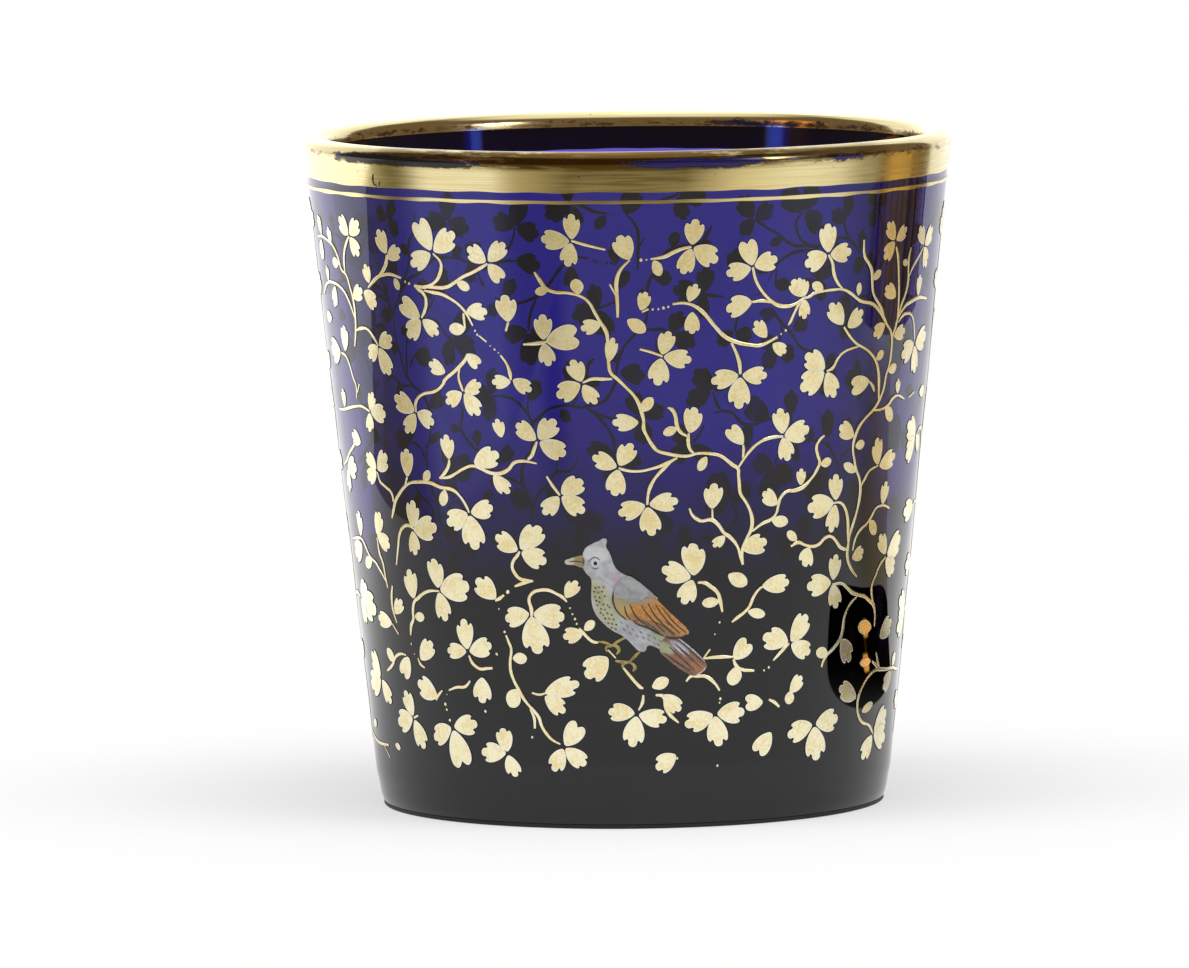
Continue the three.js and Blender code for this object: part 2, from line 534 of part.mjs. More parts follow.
    stem([54.4, 56], [55.6, 55]),
    leaf([52, 58.2], [46.7, 57.4]),
    leaf([48.9, 50.8], [44.2, 52.7]),
    bud([48.5, 49.6], [52.2, 49.9]),
    bud([50, 46.6], [45.9, 47.4], slenderBud),
    stem([51.6, 44], [57.5, 46.6]),
    leaf([57.3, 46.6], [55.7, 50.2]),
    leaf([57.5, 46.6], [64, 47.4]),
    stem([53.9, 54.2], [59.2, 54.6], [62.7, 55.7], [68.3, 55.1], [71.5, 55.7], [75.2, 55.4]),
    bud([58.1, 54.5], [61.6, 52.4]),
    leaf([62.7, 55.6], [62.7, 58]),
    bud([75, 55.4], [79.6, 55.4]),
    stem([49.2, 37], [47.5, 41.4], [44.3, 42.4]),
    trefoil([44.3, 42.4], [44.2, 46.1], [37.4, 42.2], [43.9, 38.6]),
    stem([49.1, 35.8], [43.8, 37.7], [39.2, 36.8], [33.6, 37]),
    bud([35, 37], [32.4, 39.2]),
    leaf([38.2, 37], [36.8, 34.4]),
    stem([49.1, 35.2], [51.5, 37.4], [57.6, 40.8], [63.5, 40.5]),
    leaf([60.3, 40.9], [61, 44.4]),
    bud([55.4, 39.6], [58.7, 37.6]),
    leaf([49.9, 34.6], [54.4, 35.2]),
  ),
  left_edge_vine: vine(
    stem([-86, 9], [-84, 15], [-86.4, 24], [-84, 34], [-86.4, 44]),
    stem([-86.4, 44], [-84, 54], [-86, 64], [-84.4, 71], [-84, 78]),
    trefoil([-84, 78], [-87.4, 80.4], [-80.6, 80], [-85, 82]),
    leaf([-85, 69], [-80.8, 71.2]),
    leaf([-85, 59], [-81.2, 61.4]),
    leaf([-84.4, 54], [-88.4, 56.2]),
    leaf([-85.8, 46], [-81, 47.4]),
    leaf([-84.8, 37], [-88.8, 38.6]),
    stem([-85.4, 28.4], [-77.4, 28.6]),
    trefoil([-77.4, 28.6], [-71.6, 30.8], [-68.4, 27.6], [-74.2, 25]),
    leaf([-85.4, 20], [-81.2, 22]),
    stem([-85.4, 10.6], [-76, 9], [-68.6, 9.1]),
    stem([-72, 9.1], [-68.8, 7.4]),
  ),
  right_edge_vine: vine(
    stem([84, 9], [86.5, 17], [84, 26], [86, 34], [84.6, 42]),
    stem([84.6, 42], [84, 48], [86, 57], [84, 66], [84.4, 76]),
    trefoil([84.4, 76], [80.6, 78.4], [88, 78.6], [84.2, 80.6]),
    leaf([84, 69], [80.2, 71.2]),
    leaf([84.4, 63.6], [88.6, 65.4]),
    leaf([85.4, 53], [89.2, 55]),
    stem([84.2, 47.4], [80, 50.4], [75.6, 49.4]),
    trefoil([75.6, 49.4], [69.4, 51.8], [69.6, 47.4], [79, 46.6]),
    stem([84.8, 40], [79.5, 39.8]),
    leaf([79.5, 39.8], [71.5, 39.6]),
    leaf([85, 32], [77.4, 32.2]),
    stem([84.6, 26.4], [82, 25.4]),
    trefoil([82, 25.4], [74.8, 27.4], [75, 23]),
    leaf([85.6, 20.4], [89.2, 21.6]),
    leaf([85.6, 13.6], [80, 13.4]),
  ),
};

// The far side repeats these sprays, and fills the bird's place with leaves.
const repeatedBehind = [
  "crown_vine",
  "left_mid_vine",
  "left_side_vine",
  "left_side_sprig",
  "left_foot_vine",
  "perch_arch",
  "perch_branch",
  "tail_branch",
  "foot_sprig",
  "right_foot_trefoil",
];
const vinesBehind = {
  ...Object.fromEntries(repeatedBehind.map((name) => [name, vines[name]])),
  centre_sprig: vine(
    stem([-6.4, 23.6], [1.6, 27.2], [9.6, 27.4]),
    trefoil([-6.4, 23.6], [-11.2, 22.4], [-5.6, 20], [-2.4, 22.6]),
    stem([1.6, 27.2], [-1.4, 31], [-5.4, 32.6]),
    trefoil([-5.4, 32.6], [-6.4, 36.4], [-9.8, 33.8], [-5, 29.4]),
    leaf([9.4, 27.4], [13.2, 25.4]),
    leaf([4.6, 27.2], [4.4, 23]),
  ),
};

// The bird's outlines, as places on the wall
const birdBody = [
  [-9.6, 36.6], [-9.1, 37.6], [-7.8, 38.2], [-6.2, 38.6], [-5, 38.9], [-4.7, 37.8], [-4, 36.9], [-3, 35.1],
  [-1.6, 34.2], [-0.8, 33], [6, 28.4], [9, 26.6], [8.4, 23.6], [6.4, 23.9], [4.8, 24.5], [3, 24.1],
  [1.3, 24], [-0.4, 25.2], [-3, 26.4], [-5.1, 27.9], [-6.6, 29.4], [-7.7, 30.9], [-8, 32.4], [-8.1, 33.6],
  [-9, 34.3], [-9.6, 35.1],
];
const birdWing = [
  [0, 33.8], [2, 32.8], [4, 31.3], [6, 29.8], [8, 28.4], [10.2, 27.2], [11.3, 26.2], [8.8, 25.8], [4.8, 26.4],
  [0.8, 27.4], [-1.8, 28.3], [-3, 29.2], [-3.8, 30.2], [-3.9, 31.4], [-3.3, 32.6], [-1.8, 33.6],
];
const birdTail = [
  [7.4, 25.8], [9.6, 25.4], [11.6, 24.2], [15, 22.2], [15.4, 21.7], [14.8, 21.1], [12.6, 20.6], [9.2, 22],
  [6, 24],
];
const birdBeak = [[-9.4, 36.5], [-10.7, 36.6], [-12, 36.3], [-13.4, 35.8], [-11.2, 35.4], [-9.4, 35.3]];
const birdLegs = {
  bird_front_foot: [
    [-0.8, 25.2], [-2, 25.9], [-3.9, 25], [-6.6, 25.5], [-6.4, 24.8], [-4.6, 24.2], [-2.8, 23.5], [-2.6, 24],
    [-3.8, 24.6],
  ],
  bird_rear_foot: [
    [2.2, 23.7], [1.2, 23.9], [-0.9, 22.9], [-3.6, 23], [-3.4, 22.3], [-1.6, 21.7], [0.2, 21.2], [0.3, 21.8],
    [-0.6, 22.4],
  ],
};
const eyePlace = [-7.4, 35.8];
const eyeRadius = 0.75;
const eyeSides = 10;

const flatOutline = (places) => places.map(flatPlace);

function eyeOutline(radius) {
  const [x, y] = flatPlace(eyePlace);
  const squeeze = meanRadius / wallRadius(y);
  const ring = Array.from({ length: eyeSides }, (_, i) => (2 * Math.PI * i) / eyeSides);
  return ring.map((angle) => [x + radius * squeeze * Math.cos(angle), y + radius * Math.sin(angle)]);
}

// An outline moved out by a distance along the mean of its neighbouring edges' normals.
function grown(outline, distance) {
  const turn = Math.sign(THREE.ShapeUtils.area(outline.map(([x, y]) => new THREE.Vector2(x, y))));
  return outline.map(([x, y], i) => {
    const [bx, by] = outline.at(i - 1);
    const [ax, ay] = outline[(i + 1) % outline.length];
    const along = new THREE.Vector2(ax - bx, ay - by).normalize();
    return [x + along.y * distance * turn, y - along.x * distance * turn];
  });
}

const enamel = (outline) => plate(outline, enamelThickness);

// Each enamel is cut back from the ones fired before it, so that a seam of glass shows between them.
function birdPieces() {
  const wing = flatOutline(birdWing);
  const tail = flatOutline(birdTail);
  const body = flatOutline(birdBody);
  const seamed = (solid, ...outlines) =>
    outlines.reduce((left, outline) => left.subtract(enamel(grown(outline, enamelSeam))), solid);
  const feet = Object.entries(birdLegs).map(([name, outline]) => [
    name,
    seamed(enamel(flatOutline(outline)), body),
    "horn",
  ]);
  return [
    ["bird_body", seamed(enamel(body), wing, tail, eyeOutline(eyeRadius)), "plumage"],
    ["bird_wing", enamel(wing), "wing"],
    ["bird_tail", seamed(enamel(tail), wing), "tail"],
    ["bird_beak", seamed(enamel(flatOutline(birdBeak)), body), "horn"],
    ["bird_eye", enamel(eyeOutline(eyeRadius)), "pupil"],
    ...feet,
  ];
}

const gilded = (outlines) =>
  outlines.map((outline) => plate(outline, sprayThickness)).reduce((whole, part) => whole.add(part));

function sub(name, geometry, finish) {
  const mesh = new THREE.Mesh(geometry, new THREE.MeshStandardMaterial(finishes[finish]));
  mesh.name = name;
  return mesh;
}

function side(prefix, drawings, turn) {
  const group = new THREE.Group();
  Object.entries(drawings).forEach(([name, outlines]) =>
    group.add(sub(prefix + name, wrapped(gilded(outlines)), "vine")),
  );
  group.rotation.z = rad(turn);
  return group;
}

const beaker = new THREE.Group();
beaker.add(sub("glass_body", turned(glassProfile()), "glass"));
beaker.add(sub("rim_gilding", turned(rimProfile()), "gilding"));
beaker.add(sub("gilt_line", turned(lineProfile()), "gilding"));
beaker.add(side("", vines, 0));
beaker.add(side("back_", vinesBehind, backTurn));
birdPieces().forEach(([name, solid, finish]) => beaker.add(sub(name, wrapped(solid), finish)));

export default beaker;
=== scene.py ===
"""A flared beaker of deep blue glass with a gilt lip, gilt vines and an enamelled bird, dressed for a studio.

The scene's units are metres. Sizes here are millimetres, which MM turns to metres, and decoration is drawn flat
in millimetres before it is laid on the wall. A place on the wall is (azimuth in degrees, height in
millimetres): azimuth 0 faces -Y, where the bird is, and grows towards +X.
"""

import logging
import math
import random
from collections.abc import Callable
from dataclasses import dataclass, field
from enum import Enum
from functools import partial

import bpy
import numpy as np
from mathutils import Euler, Matrix, Vector

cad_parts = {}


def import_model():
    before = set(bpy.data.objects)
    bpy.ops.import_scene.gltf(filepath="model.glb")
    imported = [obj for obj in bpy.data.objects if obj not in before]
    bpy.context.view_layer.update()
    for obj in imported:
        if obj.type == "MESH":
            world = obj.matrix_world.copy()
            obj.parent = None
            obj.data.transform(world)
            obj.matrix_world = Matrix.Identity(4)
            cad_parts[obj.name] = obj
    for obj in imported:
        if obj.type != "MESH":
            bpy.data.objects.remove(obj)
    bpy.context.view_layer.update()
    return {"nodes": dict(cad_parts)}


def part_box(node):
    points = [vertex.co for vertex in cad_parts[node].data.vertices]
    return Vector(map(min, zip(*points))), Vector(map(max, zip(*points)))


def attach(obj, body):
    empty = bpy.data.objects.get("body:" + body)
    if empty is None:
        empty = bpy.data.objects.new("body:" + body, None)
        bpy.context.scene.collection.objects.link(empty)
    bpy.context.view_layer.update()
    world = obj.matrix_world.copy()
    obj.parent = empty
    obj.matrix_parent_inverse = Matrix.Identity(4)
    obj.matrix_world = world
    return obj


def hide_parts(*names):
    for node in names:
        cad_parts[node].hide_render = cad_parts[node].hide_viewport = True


log = logging.getLogger("beaker")

MM = 0.001
BODY = "root"
BLACK_LEVEL = 0.04045  # the sRGB share below which the curve is a straight line
# Settings that all nodes of a kind share: a range eases in and out at its ends
SHARED_SETTINGS = {"MapRange": {"interpolation_type": "SMOOTHSTEP"}}

Place = tuple[float, float]
Lines = tuple[tuple[Place, ...], ...]
Grain = tuple[float, float, float]  # the size of a pattern's grain in millimetres, along X, Y and Z
Patch = tuple[float, ...]  # a soft patch: its centre, its reach and its strength
Piece = bpy.types.Object
Material = bpy.types.Material
Socket = bpy.types.NodeSocket
Adder = Callable[..., Socket]  # add_node, bound to one node tree


# Helpers for colours, nodes and meshes


def linear(hex_colour: str) -> tuple[float, float, float, float]:
    """Turns an sRGB hex colour to the linear values that shaders take.

    Args:
        hex_colour: six hex digits, such as "D8B96A".

    Returns:
        Linear red, green and blue, and an alpha of 1.
    """
    shares = [int(hex_colour[i : i + 2], 16) / 255 for i in (0, 2, 4)]
    return (*(s / 12.92 if s <= BLACK_LEVEL else ((s + 0.055) / 1.055) ** 2.4 for s in shares), 1.0)


def add_node(
    tree: bpy.types.NodeTree, kind: str, *inputs: object, out: str | int = 0, **settings: object
) -> Socket | None:
    """Adds a node with its settings and links.

    Args:
        tree: the node tree that it goes in.
        kind: the name of the node's type, without its "ShaderNode", and then its operation, if any.
        inputs: what its first inputs get, in order: a socket to link, a hex colour or a value.
        out: the name or number of the output that is wanted.
        settings: its properties first, then what other inputs get, by name with _ for a space.

    Returns:
        The output that is wanted, or None where it has none.
    """
    kind, _, operation = kind.partition(" ")
    node = tree.nodes.new("ShaderNode" + kind)
    if operation:
        node.operation = operation
    settings = {**SHARED_SETTINGS.get(kind, {}), **settings}
    for name, value in (*settings.items(), *enumerate(inputs)):
        if isinstance(name, str) and hasattr(node, name):
            setattr(node, name, value)
            continue
        socket = node.inputs[name.replace("_", " ") if isinstance(name, str) else name]
        if isinstance(value, Socket):
            tree.links.new(value, socket)
        else:
            socket.default_value = linear(value) if isinstance(value, str) else value
    return node.outputs[out] if node.outputs else None


def deselect() -> None:
    """Clears the selection, because an operator acts on all that is selected."""
    bpy.ops.object.select_all(action="DESELECT")


def select(*pieces: Piece) -> None:
    """Selects these pieces alone, the first of them active.

    Args:
        pieces: the pieces.
    """
    deselect()
    for piece in pieces:
        piece.select_set(True)
    bpy.context.view_layer.objects.active = pieces[0]


def joined(name: str, pieces: list[Piece]) -> Piece:
    """Joins pieces into one and names it.

    Args:
        name: the name of the whole.
        pieces: the pieces, the first of which takes in the others.

    Returns:
        The whole.
    """
    select(*pieces)
    if len(pieces) > 1:
        bpy.ops.object.join()
    piece = bpy.context.active_object
    piece.name = name
    return piece


def smooth(piece: Piece, angle: float = 40) -> None:
    """Shades a piece smooth where its faces meet at less than an angle in degrees."""
    select(piece)
    bpy.ops.object.shade_smooth_by_angle(angle=math.radians(angle))


def add_to_object(piece: Piece, slot: str, *nodes: str) -> None:
    """Makes a piece ride on the beaker, and hides the CAD nodes that it stands for.

    Args:
        piece: the piece.
        slot: the name of its slot; not used.
        nodes: the CAD nodes that it stands for.
    """
    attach(piece, BODY)
    if nodes:
        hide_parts(*nodes)
    log.info("%s: %d faces", piece.name, len(piece.data.polygons))


# Patterns that the finishes and the studio share


def new_material(name: str) -> tuple[Material, Adder]:
    """Makes a material without nodes.

    Args:
        name: the finish that it is named for.

    Returns:
        The material, and the function that adds a node to it.
    """
    material = bpy.data.materials.new(name)
    material.use_nodes = True
    material.node_tree.nodes.clear()
    return material, partial(add_node, material.node_tree)


def object_places(node: Adder, scale: Grain = (1 / MM,) * 3) -> Socket:
    """Object coordinates times a scale, which is millimetres if none is given."""
    return node("VectorMath MULTIPLY", node("TexCoord", out="Object"), scale)


def grained(node: Adder, size: Grain, detail: float = 3, ragged: float = 0.5) -> Socket:
    """A cloudy pattern whose grain is given in millimetres along X, Y and Z, and its finer octaves' share."""
    places = object_places(node, tuple(1 / (MM * width) for width in size))
    return node("TexNoise", places, Scale=1.0, Detail=detail, Roughness=ragged)


def height(node: Adder) -> Socket:
    """The height above the ground in millimetres."""
    return node("SeparateXYZ", object_places(node), out="Z")


def azimuth(node: Adder, direction: Socket) -> Socket:
    """The azimuth of a place or direction in degrees, 0 at -Y and growing towards +X.

    Args:
        node: adds a node to the tree that is built.
        direction: the place or direction.

    Returns:
        The azimuth.
    """
    axes = node("SeparateXYZ", direction).node.outputs
    forwards = node("Math MULTIPLY", axes["Y"], -1.0)
    turn = node("Math ARCTAN2", axes["X"], forwards)
    return node("Math MULTIPLY", turn, math.degrees(1))


def near(node: Adder, value: Socket, centre: float, reach: float, high: float = 1.0) -> Socket:
    """A soft bump: high where a value is at the centre, and 0 from its reach on."""
    off = node("Math ABSOLUTE", node("Math SUBTRACT", value, centre))
    return node("MapRange", off, 0.0, reach, high, 0.0)


def strongest(node: Adder, value: Socket, patches: tuple[Patch, ...]) -> Socket:
    """How strong a surface's patches are at a place, where the strongest of them counts.

    Args:
        node: adds a node to the tree that is built.
        value: what the patches lie along.
        patches: the patches.

    Returns:
        The strength, from 0 outside the patches.
    """
    share = near(node, value, *patches[0])
    for patch in patches[1:]:
        share = node("Math MAXIMUM", share, near(node, value, *patch))
    return share


def blended_value(node: Adder, share: Socket, first: Socket | float, second: Socket | float) -> Socket:
    """Mixes two values: the first where the share is 0, the second where it is 1.

    Args:
        node: adds a node to the tree that is built.
        share: how much of the second value is taken.
        first: the value where the share is 0.
        second: the value where the share is 1.

    Returns:
        The mixed value.
    """
    rest = node("Math SUBTRACT", 1.0, share)
    kept = node("Math MULTIPLY", first, rest)
    added = node("Math MULTIPLY", second, share)
    return node("Math ADD", kept, added)


# Finishes


@dataclass(frozen=True)
class CobaltGlass:
    """Cobalt glass, blown and polished: clear, glossy and deep blue, with painted shade near black below."""

    # The near black of the lower half: painted shade, for the dark table seen through the glass
    foot: str = "08070A"
    steps: tuple[tuple[float, float, str], ...] = (
        (18, 35, "20104F"),
        (31, 44, "451891"),
        (41, 52, "5349A2"),
    )  # the two heights between which the glass turns to each colour
    cloud: Grain = (17, 17, 13)
    waver: float = 3.5  # how far the change of colour wanders up and down
    edge_fade: tuple[float, float] = (35, 44)  # heights between which the painted shade at the outline gives out
    edge_slant: tuple[float, float] = (0.3, 0.5)  # how slantwise the wall is seen where that dark begins
    thicker: float = 0.16  # how much is left of the light that goes slantwise through the wall
    index: float = 1.5

    def material(self) -> Material:
        """Builds the glass with its change of colour by height, which is painted shade.

        Returns:
            The material.
        """
        material, node = new_material("blown_cobalt_glass")
        wandering = node("MapRange", grained(node, self.cloud, 1), 0.32, 0.68, -self.waver, self.waver)
        level = node("Math ADD", height(node), wandering)
        colour = self.foot
        for start, end, next_colour in self.steps:
            colour = node("MixRGB", node("MapRange", level, start, end), colour, next_colour)
        slant = node("LayerWeight", 0.5, out="Facing")
        edge = node("MapRange", slant, *self.edge_slant)
        edge = node("Math MULTIPLY", edge, node("MapRange", level, *self.edge_fade, 1.0, 0.0))
        colour = node("MixRGB", edge, colour, self.foot)
        left = node("MapRange", slant, 0.2, 0.66, 1.0, self.thicker)
        colour = node("VectorMath SCALE", colour, Scale=left)
        shader = node("BsdfPrincipled", colour, Roughness=0.0, IOR=self.index, Transmission_Weight=1.0)
        node("OutputMaterial", shader)
        return material


@dataclass(frozen=True)
class MattFinish:
    """A dull ground surface: it scatters light, so nothing is mirrored in it and its colour stays even."""

    name: str
    colour: str
    roughness: float
    grain: float = 0.3  # millimetres, drawn coarser than the real grit

    def material(self) -> Material:
        """Builds the matt finish.

        Returns:
            The material.
        """
        material, node = new_material(self.name)
        grit = grained(node, (self.grain,) * 3)
        bump = node("Bump", Strength=0.3, Distance=0.02 * MM, Height=grit)
        node("OutputMaterial", node("BsdfPrincipled", self.colour, Roughness=self.roughness, Normal=bump))
        return material


# The base is ground flat, which turns the dark glass grey black and matt.
GROUND_GLASS = MattFinish("ground_cobalt_glass", "1B1718", 0.6)
# Fired gold seen from behind, through the glass, is matt and pale, so that it looks as blue as the glass.
GOLD_FROM_BEHIND = MattFinish("fired_gold_underside", "E6CFDF", 0.8)


@dataclass(frozen=True)
class BurnishedGold:
    """Gold fired on the lip and burnished: a mirror drawn out by fine turning lines, worn at the shoulder.

    Its patches are given by their azimuth and reach in degrees, and how strong they are.
    """

    name: str = "burnished_gilding"
    gold: str = "F3E4B0"
    deep: str = "E4CF92"
    # Brown drawn on the gold: at the band's front it is painted shade, for the dark room that it mirrors
    patina_and_shade: str = "84744A"
    # Dark drawn on the gold: painted shade on the lip's top at the front, and wear where nearly rubbed through
    tarnish_and_shade: str = "6E5528"
    # Where the gold is rubbed away, the glass is drawn opaque: black as painted shade, blue as painted light
    # through it
    bare_black: str = "0D0A0E"
    bare_blue: str = "211A58"
    roughness: float = 0.13
    turning_line: Grain = (14, 14, 0.16)  # drawn coarse enough to show
    shoulder: float = 88.5  # the height at which hands and other glasses rub it
    shoulder_reach: float = 1.25
    gone: tuple[float, float] = (0.58, 0.61)  # how far it is rubbed where the glass begins to show
    tarnished: tuple[float, float] = (0.34, 0.54)
    least_wear: float = 0.3
    wear_patches: tuple[Patch, ...] = ((-45, 28, 1.6), (13, 24, 1.1), (42, 22, 0.6), (150, 42, 0.55))
    # The first patch, at the front, is painted shade
    patina_and_shade_patches: tuple[Patch, ...] = ((0, 21, 1.6), (-45, 9, 0.75), (47, 8, 0.5))
    most_patina_and_shade: float = 0.85
    # Where the lip's top at the front is drawn darker: painted shade, from the dark room that it mirrors
    shaded_top_patch: Patch = (-4, 66, 1.7)
    shaded_top_from: tuple[float, float] = (87.3, 88.4)
    # Where the bare glass is drawn black: painted shade
    black_patch: Patch = (-40, 45, 1.6)

    def material(self) -> Material:
        """Builds the gold, worn along the lip's shoulder, where the bare glass is drawn dark as painted shade.

        Returns:
            The material.
        """
        material, node = new_material(self.name)
        lines = grained(node, self.turning_line, 2)
        around = azimuth(node, object_places(node, (1, 1, 1)))
        rubbed = self.rubbed(node, around)
        pinholes = node("MapRange", grained(node, (0.6, 0.6, 0.5), 2), 0.73, 0.76)
        bare = node("Math MAXIMUM", node("MapRange", rubbed, *self.gone), pinholes)
        gold = node("MixRGB", node("MapRange", lines, 0.3, 0.75, 0.0, 0.6), self.gold, self.deep)
        gold = node("MixRGB", self.patina_and_shade_share(node, around), gold, self.patina_and_shade)
        gold = node("MixRGB", self.tarnish_and_shade_share(node, around, rubbed), gold, self.tarnish_and_shade)
        black_lines = node("MapRange", lines, 0.46, 0.56)
        black = node("Math MAXIMUM", near(node, around, *self.black_patch), black_lines)
        bump = node("Bump", Strength=0.1, Distance=0.02 * MM, Height=lines)
        shader = node(
            "BsdfPrincipled",
            node("MixRGB", bare, gold, node("MixRGB", black, self.bare_blue, self.bare_black)),
            Metallic=node("Math SUBTRACT", 1.0, bare),
            Roughness=node("MapRange", lines, 0.3, 0.7, self.roughness - 0.04, self.roughness + 0.08),
            Normal=bump,
        )
        node("OutputMaterial", shader)
        return material

    def patina_and_shade_share(self, node: Adder, around: Socket) -> Socket:
        """Brown streaks on the gold; at the front they are painted shade, for the dark room that it mirrors.

        Args:
            node: adds a node to the tree that is built.
            around: the azimuth in degrees.

        Returns:
            The share of brown.
        """
        patches = strongest(node, around, self.patina_and_shade_patches)
        patches = node("Math MINIMUM", patches, self.most_patina_and_shade)
        streaks = node("MapRange", grained(node, (9, 9, 0.4)), 0.35, 0.65, 0.8, 1.1)
        return node("Math MULTIPLY", patches, streaks)

    def tarnish_and_shade_share(self, node: Adder, around: Socket, rubbed: Socket) -> Socket:
        """How dark the gold is: painted shade on top at the front, and wear where it is nearly rubbed through.

        Args:
            node: adds a node to the tree that is built.
            around: the azimuth in degrees.
            rubbed: how far the gold is rubbed.

        Returns:
            The share of darkened gold.
        """
        above = node("MapRange", height(node), *self.shaded_top_from)
        dull = node("Math MULTIPLY", near(node, around, *self.shaded_top_patch), above)
        streaks = node("MapRange", grained(node, (5, 5, 0.5), 4, 0.7), 0.35, 0.55, 0.4, 1.0)
        dull = node("Math MULTIPLY", dull, streaks)
        darkened = node("MapRange", rubbed, *self.tarnished, 0.0, 0.85)
        dull = node("Math MAXIMUM", dull, darkened)
        return node("Math MINIMUM", dull, 1.0)

    def rubbed(self, node: Adder, around: Socket) -> Socket:
        """How far the gold is rubbed along the shoulder, with a ragged edge.

        Args:
            node: adds a node to the tree that is built.
            around: the azimuth in degrees.

        Returns:
            How far, from 0: the gold is dark from about 0.34 and gone from about 0.6.
        """
        wear = strongest(node, around, self.wear_patches)
        wear = node("Math MAXIMUM", wear, self.least_wear)
        wear = node("Math MINIMUM", wear, 1.0)
        profile = near(node, height(node), self.shoulder, self.shoulder_reach)
        ragged = node("Math SUBTRACT", grained(node, (2.4, 2.4, 0.9), 6, 0.74), 0.5)
        ragged = node("Math MULTIPLY", ragged, 1.8)
        rubbed = node("Math MULTIPLY", node("Math MULTIPLY", profile, wear), 1.2)
        rubbed = node("Math ADD", rubbed, ragged)
        return node("Math MULTIPLY", rubbed, node("MapRange", profile, 0.02, 0.12))


@dataclass(frozen=True)
class PaintedGold:
    """Gold painted on with a brush and fired: pale and softly matt, with faint strokes and pinholes."""

    name: str = "painted_gilding"
    gold: str = "FFF7D2"
    deep: str = "F3E0A8"
    roughness: float = 0.24
    rim_highlight: float = 0.0  # 1 on a leaf's edge, drawn brighter and more even: a painted highlight
    grain: Grain = (0.4,) * 3  # coarser than real brush marks, so that it shows
    cloud: Grain = (2.5,) * 3

    def material(self) -> Material:
        """Builds the painted gold.

        Returns:
            The material.
        """
        material, node = new_material(self.name)
        grain = grained(node, self.grain, 4)
        fine = node("Math MULTIPLY", grain, 0.5)
        broad = node("Math MULTIPLY", grained(node, self.cloud, 2), 0.5)
        mottle = node("Math ADD", fine, broad)
        share = node("MapRange", mottle, 0.4, 0.66, 0.0, 1.0 - self.rim_highlight)
        shader = node(
            "BsdfPrincipled",
            node("MixRGB", share, self.gold, self.deep),
            Metallic=1.0,
            Roughness=self.roughness,
            Normal=node("Bump", Strength=0.04, Distance=0.02 * MM, Height=grain),
        )
        node("OutputMaterial", shader)
        return material


@dataclass(frozen=True)
class Tint:
    """A soft oval of another colour in an enamel, as one wash runs into the next."""

    colour: str
    place: Place  # its centre, as azimuth and height
    reach: tuple[float, float]  # along and across, in millimetres
    lean: float = 0.0  # degrees by which its length falls to the right
    strength: float = 1.0

    def share(self, node: Adder, wall: "Wall") -> Socket:
        """How much of the colour shows, from its strength near the centre to 0 at the oval's edge.

        Args:
            node: adds a node to the tree that is built.
            wall: the wall that it lies on.

        Returns:
            The tint's share.
        """
        around, level = self.place
        oval = node(
            "Mapping",
            object_places(node),
            vector_type="TEXTURE",
            Location=(wall.radius(level) * math.sin(math.radians(around)), 0, level),
            Rotation=(0, math.radians(self.lean), 0),
            Scale=(self.reach[0], 1000, self.reach[1]),
        )
        off = node("VectorMath LENGTH", oval, out="Value")
        return node("MapRange", off, 0.55, 1.0, self.strength, 0.0)


@dataclass(frozen=True)
class Enamel:
    """Opaque enamel, painted and fired: smooth and softly glossy, a little uneven in colour."""

    name: str
    colour: str
    shade: str
    tints: tuple[Tint, ...] = ()
    grain: Grain = (0.7,) * 3  # of its unevenness, and below that of a tint's edge
    tint_grain: Grain = (0.4,) * 3
    roughness: float = 0.4

    def material(self, wall: "Wall") -> Material:
        """Builds the enamel from its colour, its darker shade and its tints.

        Args:
            wall: the wall that its tints are placed on.

        Returns:
            The material.
        """
        material, node = new_material(self.name)
        cloud = grained(node, self.grain, 4)
        colour = node("MixRGB", node("MapRange", cloud, 0.4, 0.66), self.colour, self.shade)
        for tint in self.tints:
            ragged = node("MapRange", grained(node, self.tint_grain, 2), 0.3, 0.6, 0.72, 1.0)
            share = node("Math MULTIPLY", tint.share(node, wall), ragged)
            colour = node("MixRGB", share, colour, tint.colour)
        bump = node("Bump", Strength=0.3, Distance=0.03 * MM, Height=cloud)
        node("OutputMaterial", node("BsdfPrincipled", colour, Roughness=self.roughness, Normal=bump))
        return material


# A matt, nearly black enamel: round each stroke it draws a thin dark line, painted shade at the edge; the
# band's chips are drawn in it too.
EDGE_SHADE_AND_CHIPS = Enamel("edge_shade_and_chips", "17130F", "0B0A0C", roughness=0.6)
# A leaf's edge is drawn in paler, more even gold: a painted highlight, where its rounded edge catches light.
RIM_HIGHLIGHT_GOLD = PaintedGold("pooled_gilding", "FFFFF0", roughness=0.34, rim_highlight=1.0)


# The glass and its gilt bands


